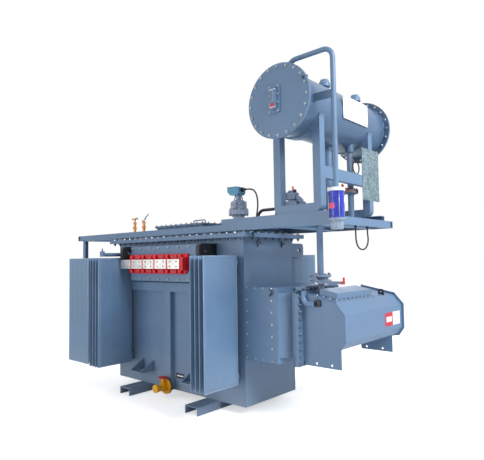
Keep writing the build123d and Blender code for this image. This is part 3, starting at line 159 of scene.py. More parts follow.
class Graph:
    """A node tree whose nodes are added and joined step by step."""

    def __init__(self, tree):
        self.tree = tree

    def set(self, socket, value):
        """Joins the socket to another node's output, or gives it a constant value."""
        if isinstance(value, bpy.types.NodeSocket):
            self.tree.links.new(value, socket)
        else:
            socket.default_value = value

    def node(self, kind, **inputs):
        """A new node with its inputs by name, an underscore standing for a space."""
        node = self.tree.nodes.new(kind)
        for name, value in inputs.items():
            self.set(node.inputs[name.replace("_", " ")], value)
        return node


class Shader(Graph):
    """A material whose patterns lie over the object's coordinates."""

    def __init__(self, name, roughness, metallic=0.0):
        self.material = bpy.data.materials.new(name)
        self.material.use_nodes = True
        super().__init__(self.material.node_tree)
        self.surface = self.tree.nodes["Principled BSDF"].inputs
        self.set(self.surface["Roughness"], roughness)
        self.set(self.surface["Metallic"], metallic)
        self.coordinates = self.node("ShaderNodeTexCoord").outputs["Object"]

    def noise(self, scale, detail, roughness=0.55, stretch=(1, 1, 1)):
        """Noise, stretched along each axis."""
        mapping = self.node("ShaderNodeMapping", Scale=stretch, Vector=self.coordinates)
        texture = self.node(
            "ShaderNodeTexNoise", Scale=scale, Detail=detail, Roughness=roughness,
            Vector=mapping.outputs["Vector"],
        )
        return texture.outputs["Fac"]

    def cells(self, scale):
        """A random value for each cell of a Voronoi pattern."""
        texture = self.node("ShaderNodeTexVoronoi", Scale=scale, Vector=self.coordinates)
        return self.node("ShaderNodeRGBToBW", Color=texture.outputs["Color"]).outputs["Val"]

    def axis(self, name):
        """The point's X, Y or Z in metres."""
        return self.node("ShaderNodeSeparateXYZ", Vector=self.coordinates).outputs[name]

    def ramp(self, factor, *stops):
        """A colour ramp through (place, colour) stops."""
        ramp = self.node("ShaderNodeValToRGB", Fac=factor)
        elements = ramp.color_ramp.elements
        while len(elements) < len(stops):
            elements.new(0.5)
        for element, (place, colour) in zip(elements, stops):
            element.position = place
            element.color = colour
        return ramp.outputs["Color"]

    def steps(self, factor, to_low, to_high, from_low=0.0, from_high=1.0):
        """A number mapped from one range to another."""
        node = self.node(
            "ShaderNodeMapRange", Value=factor,
            From_Min=from_low, From_Max=from_high, To_Min=to_low, To_Max=to_high,
        )
        return node.outputs["Result"]

    def mix(self, factor, first, second):
        """Two colours mixed by the factor. Each is a value or another node's output."""
        node = self.node("ShaderNodeMix")
        node.data_type = "RGBA"
        self.set(node.inputs["Factor"], factor)
        colours = [socket for socket in node.inputs if socket.type == "RGBA"]
        for socket, side in zip(colours, (first, second)):
            self.set(socket, side)
        return [socket for socket in node.outputs if socket.type == "RGBA"][0]

    def colour(self, output):
        self.set(self.surface["Base Color"], output)

    def rough(self, pattern, smoothest, roughest, from_low=0.3, from_high=0.7):
        """Roughness that follows a pattern."""
        roughness = self.steps(pattern, smoothest, roughest, from_low, from_high)
        self.set(self.surface["Roughness"], roughness)

    def bump(self, height, strength, distance):
        """Bump on top of what there is already."""
        normal = self.surface["Normal"]
        node = self.node("ShaderNodeBump", Strength=strength, Distance=distance, Height=height)
        if normal.links:
            self.set(node.inputs["Normal"], normal.links[0].from_socket)
        self.set(normal, node.outputs["Normal"])

    def orange_peel(self):
        """The fine unevenness of sprayed paint."""
        self.bump(self.noise(260, 2, 0.5), 0.08, 0.0006)


def enamel(name, colour, roughness, dust, streaks=False):
    """Sprayed enamel on steel: cloudiness, orange peel, run-down streaks and a little dust."""
    shader = Shader(name, roughness)
    cloud = shader.noise(3.2, 5, 0.6)
    base = shader.ramp(cloud, (0.25, shade(colour, 0.92)), (0.75, shade(colour, 1.07)))
    if streaks:
        run = shader.noise(5.5, 4, 0.6, stretch=(5, 5, 0.35))
        base = shader.mix(shader.steps(run, 0.0, 0.2, 0.54, 0.8), base, shade(colour, 0.72))
        foot = shader.steps(shader.axis("Z"), 0.35, 0.0, 0.05, 0.5)
        base = shader.mix(foot, base, srgb(160, 170, 182))
    speck = shader.noise(70, 3, 0.6)
    base = shader.mix(shader.steps(speck, 0.0, dust, 0.60, 0.78), base, srgb(178, 186, 192))
    shader.colour(base)
    shader.rough(cloud, roughness - 0.06, roughness + 0.1)
    shader.orange_peel()
    shader.bump(shader.noise(7, 3, 0.5), 0.10, 0.004)
    return shader.material


def two_tone_lugs(name, colour):
    """Black lugs in front of the tank, and lugs of the given colour behind it."""
    shader = Shader(name, 0.4)
    front = shader.steps(shader.axis("Y"), 1.0, 0.0, -0.01, 0.01)
    wear = shader.noise(40, 4, 0.6)
    dark = shader.ramp(wear, (0.3, srgb(14, 15, 19)), (0.75, srgb(26, 28, 34)))
    pale = shader.ramp(wear, (0.3, shade(colour, 0.9)), (0.75, shade(colour, 1.05)))
    shader.colour(shader.mix(front, pale, dark))
    shader.rough(wear, 0.34, 0.52)
    shader.orange_peel()
    return shader.material


def metal(name, colour, roughness, stretch=(1, 1, 1), scale=60):
    """Bare or plated metal, with rolling marks and cloudy roughness."""
    shader = Shader(name, roughness, metallic=1.0)
    marks = shader.noise(scale, 5, 0.6, stretch=stretch)
    cloud = shader.noise(9, 4, 0.6)
    shader.colour(shader.ramp(cloud, (0.3, shade(colour, 0.80)), (0.7, shade(colour, 1.05))))
    shader.rough(marks, roughness - 0.1, roughness + 0.15)
    shader.bump(marks, 0.15, 0.0008)
    return shader.material


def galvanised(name):
    """Hot-dip galvanised sheet, with its spangles."""
    shader = Shader(name, 0.45, metallic=0.7)
    spangle = shader.cells(64)
    fine = shader.noise(60, 5, 0.7)
    base = shader.ramp(
        spangle, (0.1, srgb(92, 114, 126)), (0.5, srgb(126, 148, 158)), (0.95, srgb(164, 184, 190))
    )
    shader.colour(shader.mix(shader.steps(fine, 0.0, 0.5, 0.5, 0.75), base, srgb(100, 116, 122)))
    shader.rough(spangle, 0.32, 0.62, 0.0, 1.0)
    shader.bump(spangle, 0.12, 0.001)
    return shader.material


def moulded(name, colour, roughness, mottling):
    """Moulded plastic or resin, with faint mottling and flow marks."""
    shader = Shader(name, roughness)
    mottle = shader.noise(38, 4, 0.65)
    dark, pale = shade(colour, 1 - mottling), shade(colour, 1 + mottling)
    shader.colour(shader.ramp(mottle, (0.3, dark), (0.7, pale)))
    shader.rough(mottle, roughness - 0.08, roughness + 0.12)
    shader.bump(shader.noise(140, 3, 0.5), 0.12, 0.0006)
    return shader.material


def beads(name, colour):
    """Loose drying gel behind its clear wall: round grains, lighter and darker."""
    shader = Shader(name, 0.16)
    grain = shader.cells(150)
    stops = [(place, shade(colour, factor)) for place, factor in ((0.1, 0.45), (0.6, 1), (0.95, 2))]
    shader.colour(shader.ramp(grain, *stops))
    shader.bump(grain, 0.35, 0.002)
    shader.rough(shader.noise(40, 3, 0.5), 0.08, 0.24)
    return shader.material


def clear(name, colour, alpha):
    """A clear plastic or glass wall, as a thin tinted film with faint wipe marks."""
    shader = Shader(name, 0.06)
    marks = shader.noise(26, 3, 0.5)
    shader.colour(shader.ramp(marks, (0.3, shade(colour, 0.9)), (0.7, colour)))
    shader.set(shader.surface["Alpha"], alpha)
    shader.rough(marks, 0.06, 0.16)
    return shader.material


BLUE_GREY = srgb(98, 124, 154)
paint = enamel("blue_grey_paint", BLUE_GREY, 0.42, 0.2, streaks=True)
fin_paint = enamel("radiator_paint", srgb(101, 128, 158), 0.36, 0.12, streaks=True)
# Painted shade: the conservator's shell has the tank's own blue-grey, made darker here to stand in
# for the dim surroundings that its glossy curve reflects.
shaded_shell_paint = enamel("conservator_paint_painted_shade", srgb(78, 102, 130), 0.3, 0.12, streaks=True)
# Painted highlight: a paler copy of the radiators' blue-grey for the tubes along the panels'
# rounded edges, where they catch the light.
edge_highlight_paint = enamel("edge_highlight_paint", srgb(158, 176, 200), 0.3, 0.05)
lug_paint = two_tone_lugs("lug_paint", BLUE_GREY)
black_paint = enamel("black_paint", srgb(18, 19, 24), 0.4, 0.06)
painted_bolt = enamel("bolt_paint", srgb(66, 80, 104), 0.45, 0.2)
casting = enamel("cast_grey", srgb(112, 128, 152), 0.5, 0.3)
pale_casting = enamel("cast_pale", srgb(150, 163, 188), 0.45, 0.25)
yellow = enamel("yellow_paint", srgb(240, 172, 22), 0.38, 0.08)
red_enamel = enamel("red_paint", srgb(200, 28, 30), 0.38, 0.06)
bolt_steel = metal("bolt_steel", srgb(126, 134, 148), 0.42, scale=120)
bright_steel = metal("bright_steel", srgb(178, 184, 190), 0.32, scale=120)
tinned = metal("tinned_copper", srgb(228, 226, 222), 0.42, stretch=(0.2, 1, 4))
brass = metal("brass", srgb(198, 142, 96), 0.35, scale=80)
zinc = galvanised("galvanised_steel")
red_board = moulded("red_insulation", srgb(206, 18, 34), 0.34, 0.3)
gel = beads("blue_gel", srgb(24, 44, 178))
glass = clear("clear_plastic", srgb(178, 192, 212), 0.5)
thin_glass = clear("clear_wall", srgb(120, 140, 220), 0.06)
white = moulded("white_plate", srgb(234, 235, 238), 0.4, 0.02)
pink = moulded("pink_label", srgb(226, 84, 120), 0.45, 0.06)
label_red = moulded("label_red", srgb(198, 30, 52), 0.4, 0.05)
label_black = moulded("label_black", srgb(18, 18, 22), 0.4, 0.1)
cyan = moulded("cyan_cover", srgb(84, 150, 182), 0.4, 0.12)
teal = moulded("teal_strap", srgb(18, 62, 76), 0.45, 0.2)
black_rubber = moulded("black_sheath", srgb(17, 17, 20), 0.5, 0.15)

NODE_MATERIALS = (
    (black_paint, ("cable_box_lifting_eyes",)),
    (lug_paint, ("lifting_lugs",)),
    (tinned, ("lv_terminals",)),
    (red_board, ("lv_insulating_board",)),
    (yellow, ("drain_valve_body",)),
    (red_enamel, ("drain_handwheel",)),
    (gel, ("breather_gel",)),
    (glass, ("breather_cup",)),
    (zinc, ("back_plate",)),
    (casting, ("gas_relay", "riser_valve", "conservator_valve", "isolating_lever")),
    (pale_casting, ("relief_device",)),
    (shaded_shell_paint, ("conservator_shell",)),
    (white, ("sign_plate", "breather_cap")),
    (cyan, ("relief_device_head",)),
    (brass, ("thermometer_pockets",)),
    (black_rubber, ("cable_glands", "relay_conduit", "relief_cable", "gauge_cable")),
)


def dress_nodes():
    """Gives every carried-over node its finished material."""
    chosen = {name: material for material, names in NODE_MATERIALS for name in names}
    for name, node in nodes.items():
        node.data.materials.clear()
        node.data.materials.append(chosen.get(name, paint))


# Places


def facing(place, direction, roll=0.0):
    """A place whose local Z points along the direction."""
    turn = Vector(direction).to_track_quat("Z", "Y").to_matrix().to_4x4()
    return Matrix.Translation(place) @ turn @ Matrix.Rotation(roll, 4, "Z")


def spread(first, last, pitch):
    """Evenly spaced values from first to last, about the pitch apart."""
    count = max(2, round(abs(last - first) / pitch) + 1)
    return [first + (last - first) * index / (count - 1) for index in range(count)]


def round_rectangle(left, right, bottom, top, pitch):
    """Places round a rectangle at about the pitch, each corner once."""
    places = []
    for across in spread(left, right, pitch):
        places += [(across, bottom), (across, top)]
    for rise in spread(bottom, top, pitch)[1:-1]:
        places += [(left, rise), (right, rise)]
    return places


def round_node(name, face, pitch, *insets):
    """Places round a face of the node's box. The insets are one for all four edges, or those of
    the left, right, bottom and top edge."""
    across, rise = face
    left, right, bottom, top = insets if len(insets) > 1 else insets * 4
    return round_rectangle(
        low[name][across] + left, high[name][across] - right,
        low[name][rise] + bottom, high[name][rise] - top, pitch,
    )


def round_circle(centre, direction, radius, count, start=0.0):
    """Places on a circle about the direction."""
    place = facing(centre, direction)
    for index in range(count):
        angle = start + math.tau * index / count
        yield place @ Vector((radius * math.cos(angle), radius * math.sin(angle), 0))


def rounded_corner(first, corner, last, radius):
    """A path from first to last with its right-angled corner rounded."""
    count = 10
    first, corner, last = Vector(first), Vector(corner), Vector(last)
    inward, outward = (first - corner).normalized(), (last - corner).normalized()
    centre = corner + (inward + outward) * radius
    path = [first]
    for index in range(count + 1):
        angle = math.pi / 2 * index / count
        path.append(centre - (outward * math.cos(angle) + inward * math.sin(angle)) * radius)
    return path + [last]


def faces_between(rings, sides):
    """The faces that join each ring to the next. A ring of one point closes the shape."""
    faces = []
    for lower, upper in zip(rings, rings[1:]):
        for side in range(sides):
            after = (side + 1) % sides
            if len(lower) == 1 and len(upper) > 1:
                faces.append((lower[0], upper[after], upper[side]))
            elif len(upper) == 1 and len(lower) > 1:
                faces.append((lower[side], lower[after], upper[0]))
            elif len(lower) > 1:
                faces.append((lower[side], lower[after], upper[after], upper[side]))
    return faces


class Gathered:
    """Many small shapes in one mesh, with their places counted from an origin."""

    def __init__(self, origin=CENTRE):
        self.origin = Matrix.Translation(origin)
        self.points, self.faces, self.smooth = [], [], []

    def add(self, points, faces, place=Matrix.Identity(4), smooth=False):
        """Points and faces, moved by the place."""
        first = len(self.points)
        place = self.origin @ place
        self.points += [place @ Vector(point) for point in points]
        self.faces += [tuple(first + index for index in face) for face in faces]
        self.smooth += [smooth] * len(faces)

    def turned(self, outline, sides, place=Matrix.Identity(4), smooth=False):
        """A shape of (radius, height) rings about local Z. A radius of zero closes it."""
        points, rings = [], []
        for radius, height in outline:
            count = sides if radius else 1
            rings.append(range(len(points), len(points) + count))
            for side in range(count):
                angle = math.tau * side / sides
                points.append((radius * math.cos(angle), radius * math.sin(angle), height))
        self.add(points, faces_between(rings, sides), place, smooth)

    def disc(self, place, direction, radius, thickness, sides, bore=0.0):
        """A round plate that starts at the place, with an optional bore."""
        edge = min(thickness * 0.15, 1.5)
        outline = (
            (bore, 0), (radius - edge, 0), (radius, edge), (radius, thickness - edge),
            (radius - edge, thickness), (bore, thickness),
        )
        if bore:
            outline += ((bore, 0),)
        self.turned(outline, sides, facing(place, direction))

    def block(self, first, second, bevel=0.0, place=Matrix.Identity(4)):
        """A block between two corners, with its edges bevelled."""
        first, second = Vector(first), Vector(second)
        size, centre = second - first, (first + second) / 2
        mesh = bmesh.new()
        bmesh.ops.create_cube(mesh, size=1)
        for vertex in mesh.verts:
            vertex.co = Vector(a * b for a, b in zip(vertex.co, size)) + centre
        if bevel:
            bmesh.ops.bevel(
                mesh, geom=mesh.edges[:], offset=bevel, segments=2, profile=0.5, affect="EDGES"
            )
        mesh.verts.index_update()
        points = [vertex.co.copy() for vertex in mesh.verts]
        faces = [tuple(vertex.index for vertex in face.verts) for face in mesh.faces]
        mesh.free()
        self.add(points, faces, place)

    def tube(self, path, radius, sides, wobble=0.0):
        """A round bar along a list of points, closed at both ends."""
        path = [Vector(point) for point in path]
        points, rings = [], []
        across = None
        for index, place in enumerate(path):
            before, after = path[max(index - 1, 0)], path[min(index + 1, len(path) - 1)]
            along = (after - before).normalized()
            across = along.orthogonal() if across is None else across - along * across.dot(along)
            across.normalize()
            other = along.cross(across)
            ring_radius = radius * (1 + wobble * chance.uniform(-1, 1))
            rings.append(range(len(points), len(points) + sides))
            for side in range(sides):
                angle = math.tau * side / sides
                points.append(
                    place + ring_radius * (math.cos(angle) * across + math.sin(angle) * other)
                )
        ends = [tuple(reversed(rings[0])), tuple(rings[-1])]
        self.add(points, ends + faces_between(rings, sides), smooth=True)

    def bolt(self, place, direction, size, thread=0):
        """A hexagon head or nut on a washer, its thread standing on by the given length."""
        flat, washer, head, root = size * 0.92, size * 0.14, size * 0.82, size * 0.8
        base = facing(place, direction, chance.uniform(0, math.tau))
        self.turned(((0, 0), (size, 0), (size, washer), (0, washer)), 14, base)
        self.turned(((flat, washer), (flat, size * 0.7), (flat * 0.86, head), (0, head)), 6, base)
        if thread:
            tip = root + thread
            outline = ((size / 2, root), (size / 2, tip - size * 0.1), (size * 0.4, tip), (0, tip))
            self.turned(outline, 10, base)

    def bolts(self, places, direction, size, thread=0):
        """The same bolt at each place."""
        for place in places:
            self.bolt(place, direction, size, thread)

    def bolts_through(self, places, direction, head, grip, nut):
        """Bolts through a joint: a head at each place, and a nut behind it at the grip's length.
        Head and nut are each a size, and a thread's length if the thread shows."""
        for place in places:
            self.bolt(place, direction, *head)
            self.bolt(Vector(place) - direction * grip, -direction, *nut)

    def bead(self, start, end, radius=BEAD):
        """A weld bead along a straight seam, lumpy as it was laid."""
        start, end = Vector(start), Vector(end)
        count = max(3, round((end - start).length / 14))
        path = [start.lerp(end, index / count) for index in range(count + 1)]
        self.tube(path, radius, sides=6, wobble=0.22)

    def ring_bead(self, centre, direction, radius):
        """A weld bead round a pipe."""
        count = max(16, round(math.tau * radius / 12))
        places = list(round_circle(centre, direction, radius, count))
        self.tube(places + places[:1], BEAD, sides=6, wobble=0.2)

    def build(self, name, material, slot, body="root"):
        """Makes the mesh object in metres, on its body and with its finish."""
        mesh = bpy.data.meshes.new(name)
        mesh.from_pydata([tuple(point * MM) for point in self.points], [], self.faces)
        mesh.polygons.foreach_set("use_smooth", self.smooth)
        mesh.materials.append(material)
        mesh.validate()
        mesh.update()
        piece = put(name, mesh)
        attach(piece, body)
        return piece


# Radiators, with pressed and fluted panels


def panel_half_thickness(across, rise, height):
    """Half the panel's thickness at a place on it: flat seam, shoulder, then shallow flutes."""
    edge = min(across, PANEL_WIDTH - across, rise, height - rise)
    share = min(max((edge - PANEL_SEAM) / PANEL_SHOULDER, 0), 1)
    share = share * share * (3 - 2 * share)
    flute = (1 - math.cos(math.tau * FLUTE_COUNT * across / PANEL_WIDTH)) / 2
    body = PANEL_HALF - FLUTE_DEPTH * (1 - flute)
    return PANEL_SEAM_HALF + (body - PANEL_SEAM_HALF) * share


def add_panel(group, edges, place, height):
    """One panel: two pressed sheets, joined by a narrow flat seam all round."""
    inner = PANEL_SEAM + 5
    steps = [0, PANEL_SEAM, *spread(inner, PANEL_WIDTH - inner, 6.5)]
    steps += [PANEL_WIDTH - PANEL_SEAM, PANEL_WIDTH]
    ends = [0, PANEL_SEAM, PANEL_SEAM + 6, PANEL_SEAM + 12, PANEL_SEAM + 20]
    rises = ends + [height / 2] + [height - rise for rise in reversed(ends)]
    columns = len(steps)
    for side in (-1, 1):
        points = [
            (across, side * panel_half_thickness(across, rise, height), rise)
            for rise in rises for across in steps
        ]
        faces = []
        for row in range(len(rises) - 1):
            for column in range(columns - 1):
                first = row * columns + column
                faces.append((first, first + 1, first + 1 + columns, first + columns))
        group.add(points, faces, place, smooth=True)
    half = PANEL_SEAM_HALF
    corners = [(0, 0), (PANEL_WIDTH, 0), (PANEL_WIDTH, height), (0, height)]
    for (x, z), (next_x, next_z) in zip(corners, corners[1:] + corners[:1]):
        edge = [(x, -half, z), (next_x, -half, next_z), (next_x, half, next_z), (x, half, z)]
        group.add(edge, [(0, 1, 2, 3)], place)
    # Round tubes along the panel's outline; their paler paint is a painted highlight on the rounded
    # edges.
    near, far, top = PANEL_EDGE_RADIUS, PANEL_WIDTH - PANEL_EDGE_RADIUS, height - PANEL_EDGE_RADIUS
    uprights = [((x, near), (x, top)) for x in (near, far)]
    levels = [((near, z), (far, z)) for z in (near, top)]
    for ends in uprights + levels:
        edges.tube([place @ Vector((x, 0, z)) for x, z in ends], PANEL_EDGE_RADIUS, 10)


def add_pipe_flanges(group, bolts, place, direction, radius):
    """A pair of flanges with four bolts, with the joint between them at the place."""
    thickness, gasket = 12, 1.5
    for start in (place - direction * thickness, place + direction * gasket):
        group.disc(start, direction, radius, thickness - gasket, sides=28)
    spots = round_circle(place - direction * thickness, direction, radius * 0.8, 4, 0.78)
    bolts.bolts_through(spots, -direction, (10,), 2 * thickness, (10, 5))


def add_side_radiator(group, edges, bolts, name):
    """Panels that face along Y, with headers that turn round the tank's corner into its end."""
    side = -1 if middle[name].y < 0 else 1
    outer_y = low[name].y if side < 0 else high[name].y
    bottom = low[name].z
    height = high[name].z - bottom
    first_y = outer_y - side * PANEL_HALF
    for index in range(PANEL_COUNT_SIDE):
        y = first_y - side * PANEL_PITCH_SIDE * index
        add_panel(group, edges, Matrix.Translation((low[name].x, y, bottom)), height)
    header_x = low[name].x + PANEL_WIDTH / 2
    inner_y = side * SIDE_HEADER_Y
    for z in (bottom + HEADER_MARGIN, high[name].z - HEADER_MARGIN):
        start, corner, end = (header_x, first_y, z), (header_x, inner_y, z), (TANK_LEFT, inner_y, z)
        path = rounded_corner(start, corner, end, 2 * HEADER_RADIUS)
        group.tube(path, HEADER_RADIUS, sides=24)
        joint = Vector((TANK_LEFT - 60, inner_y, z))
        add_pipe_flanges(group, bolts, joint, RIGHT, 70)


def add_wall_radiator(group, edges, bolts, name):
    """Panels that face along X, with straight headers into the tank's long wall."""
    side = -1 if middle[name].y < 0 else 1
    centre_x = middle[name].x
    bottom = low[name].z
    height = high[name].z - bottom
    face_y = side * TANK_BACK
    inner_y = face_y + side * WALL_GAP
    along = Matrix.Rotation(math.pi / 2 * side, 4, "Z")
    first_offset = -(PANEL_COUNT_FRONT - 1) / 2 * PANEL_PITCH_FRONT
    for index in range(PANEL_COUNT_FRONT):
        x = centre_x + first_offset + index * PANEL_PITCH_FRONT
        add_panel(group, edges, Matrix.Translation((x, inner_y, bottom)) @ along, height)
    header_y = inner_y + side * HEADER_MARGIN
    for z in (bottom + HEADER_MARGIN, high[name].z - HEADER_MARGIN):
        header = [(centre_x + offset, header_y, z) for offset in (first_offset, -first_offset)]
        group.tube(header, HEADER_RADIUS, sides=24)
        group.tube([(centre_x, header_y, z), (centre_x, face_y, z)], HEADER_RADIUS, sides=24)
        joint = Vector((centre_x, face_y + side * WALL_GAP / 2, z))
        add_pipe_flanges(group, bolts, joint, BACK, 66)


def add_radiators():
    """All six radiators, each in place of its node, with the bolts of their flanges."""
    bolts, edges = Gathered(), Gathered()
    for name in [name for name in nodes if name.startswith("radiator")]:
        group = Gathered()
        add_radiator = add_side_radiator if "side" in name else add_wall_radiator
        add_radiator(group, edges, bolts, name)
        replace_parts(group.build(name + "_dressed", fin_paint, "blue_grey_paint"), name)
    bolts.build("radiator_flange_bolts", painted_bolt, "blue_grey_paint")
    # The edge tubes carry the painted highlight of the panels' rounded rims.
    edges.build("radiator_edges", edge_highlight_paint, "blue_grey_paint")


# Bolts


def add_rim_bolts():
    """Bolts through the lid and the rim, heads above and nuts below."""
    heads, nuts = Gathered(), Gathered()
    for x, y in round_node("tank_lid", TOP_FACE, 105, RIM_OVERHANG / 2):
        heads.bolt((x, y, high["tank_lid"].z), UP, 17)
        nuts.bolt((x, y, low["tank_lid"].z - RIM_THICKNESS), DOWN, 17, 14)
    heads.build("rim_bolt_heads", bright_steel, "galvanised_steel")
    nuts.build("rim_bolt_nuts", painted_bolt, "blue_grey_paint")


def add_front_bolts():
    """Bolts of the terminals' plate and of the inspection cover."""
    bolts = Gathered()
    for x, z in round_node("lv_mounting_plate", FRONT_FACE, 158, 24):
        bolts.bolt((x, low["lv_mounting_plate"].y, z), FRONT, 13, 7)
    for x, z in round_node("inspection_cover", FRONT_FACE, 100, 40, 56, 21, 10):
        bolts.bolt((x, low["inspection_cover"].y, z), FRONT, 12, 6)
    bolts.build("front_plate_bolts", bright_steel, "galvanised_steel")


def add_throat_flange_bolts():
    """Bolts along X through the pair of flanges between the throat and the cable box."""
    bolts = Gathered()
    flange_thickness, inset = 15, 24
    reach = 340 - inset
    bottom, top = low["hv_throat"].z + inset, high["hv_throat"].z - inset
    head_x = high["hv_throat"].x - flange_thickness
    places = [(head_x, y, z) for y, z in round_rectangle(-reach, reach, bottom, top, 62)]
    bolts.bolts_through(places, LEFT, (15, 6), 2 * flange_thickness, (15, 14))
    bolts.build("throat_flange_bolts", bolt_steel, "galvanised_steel")


def add_conservator_bolts():
    """Twenty bolts round each end of the conservator, with nuts behind the flange."""
    bolts = Gathered()
    both_plates = 24
    for end, face, direction in (("front", low, FRONT), ("rear", high, BACK)):
        cover = f"conservator_{end}_cover"
        centre = (middle[cover].x, face[cover].y, middle[cover].z)
        places = round_circle(centre, direction, 285, 20, math.pi / 2)
        bolts.bolts_through(places, direction, (13, 7), both_plates, (13,))
    bolts.build("conservator_bolts", bright_steel, "galvanised_steel")


def add_cable_box_bolts():
    """Bolts round the sloped hatch and along the lip of the end plate."""
    bolts, hatch_bolts = Gathered(), Gathered()
    hatch_low, hatch_high = low["cable_box_hatch"], high["cable_box_hatch"]
    slope_start, slope_end = (Vector((x, 0, z)) for x, z in BOX_PROFILE[:2])
    along = (slope_end - slope_start).normalized()
    outward = Vector((-along.z, 0, along.x))
    start = slope_start + along * (hatch_low.x - slope_start.x) / along.x
    inset = 9.5
    for across, y in round_rectangle(
        inset, (slope_end - start).length - inset, hatch_low.y + 20, hatch_high.y - 20, 70
    ):
        spot = start + along * across + outward * 12
        hatch_bolts.bolt((spot.x, y, spot.z), outward, 9, 6)
    end_y = high["cable_box_end_plate"].y
    box_axis = Vector((1630, end_y, 880))
    for (x, z), (next_x, next_z) in zip(BOX_PROFILE, BOX_PROFILE[1:]):
        span = math.hypot(next_x - x, next_z - z)
        for share in spread(0, 1, 75 / span)[:-1]:
            place = Vector((x + (next_x - x) * share, end_y, z + (next_z - z) * share))
            bolts.bolt(place, BACK, 9, 5)
            if z > box_axis.z:
                away = (place - box_axis).normalized() * 9.6
                bolts.bolt(place + FRONT * 15 + away, FRONT, 8)
    bolts.build("cable_box_bolts", bolt_steel, "galvanised_steel")
    hatch_bolts.build("cable_box_hatch_bolts", bright_steel, "galvanised_steel")


def add_lid_bolts():
    """Bolts on the lid's hatch, and on the flanges of the relief device and the gas relay."""
    bolts = Gathered()
    cover_top = low["lid_hatch"].z + 155
    hatch_places = [(x, y, cover_top) for x, y in round_node("lid_hatch", TOP_FACE, 92, 14)]
    bolts.bolts_through(hatch_places, UP, (11, 6), 20, (9, 4))
    relief_places = round_circle(RELIEF_FLANGE, UP, 91, 8)
    bolts.bolts_through(relief_places, UP, (11, 10), 52, (11, 6))
    left, right, thickness = low["gas_relay"].x, high["gas_relay"].x, 16
    for x, direction in (
        (left + thickness, RIGHT), (left, LEFT), (right - thickness, LEFT), (right, RIGHT),
    ):
        bolts.bolts(round_circle((x, RELAY.y, RELAY.z), direction, 56, 4, 0.78), direction, 9, 3)
    bolts.build("lid_bolts", bolt_steel, "galvanised_steel")


def add_valve_bolts():
    """Bolts of the riser valve, of the valve under the conservator and of the drain valve."""
    bolts = Gathered()
    for spot in round_circle((RISER_X, RISER_Y, high["riser_valve"].z), UP, 80, 8, 0.3):
        bolts.bolt(spot, UP, 11, 8)
        bolts.bolt(spot + DOWN * 16, DOWN, 10)
        bolts.bolt(spot + DOWN * 60, DOWN, 11, 6)
    valve_places = round_circle(UPPER_VALVE, UP, 57, 6, 0.3)
    bolts.bolts_through(valve_places, UP, (9, 6), 33, (9, 5))
    bolts.build("valve_bolts", bolt_steel, "galvanised_steel")
    drain = Gathered(DRAIN_FLANGE)
    drain.bolts(round_circle((0, -15, 0), FRONT, *DRAIN_BOLT_CIRCLE), FRONT, 9, 6)
    drain.bolts(round_circle((0, DRAIN_STEM_Y, 49), UP, 26, 4, 0.78), UP, 5)
    drain.disc((0, -136, 0), FRONT, 41, 13, 28)
    drain.disc((0, -105, 0), FRONT, 39, 14, 6)
    drain.disc((0, DRAIN_STEM_Y, 37), UP, 36, 10, 32)
    drain.build("drain_valve_bolts", yellow, "yellow_paint")
    nut = Gathered(middle["drain_handwheel"])
    rise = high["drain_handwheel"].z - middle["drain_handwheel"].z
    nut.bolt((0, 0, rise - 2), UP, 8)
    nut.build("drain_stem_nut", bolt_steel, "galvanised_steel", body="drain_handwheel")


# Welds


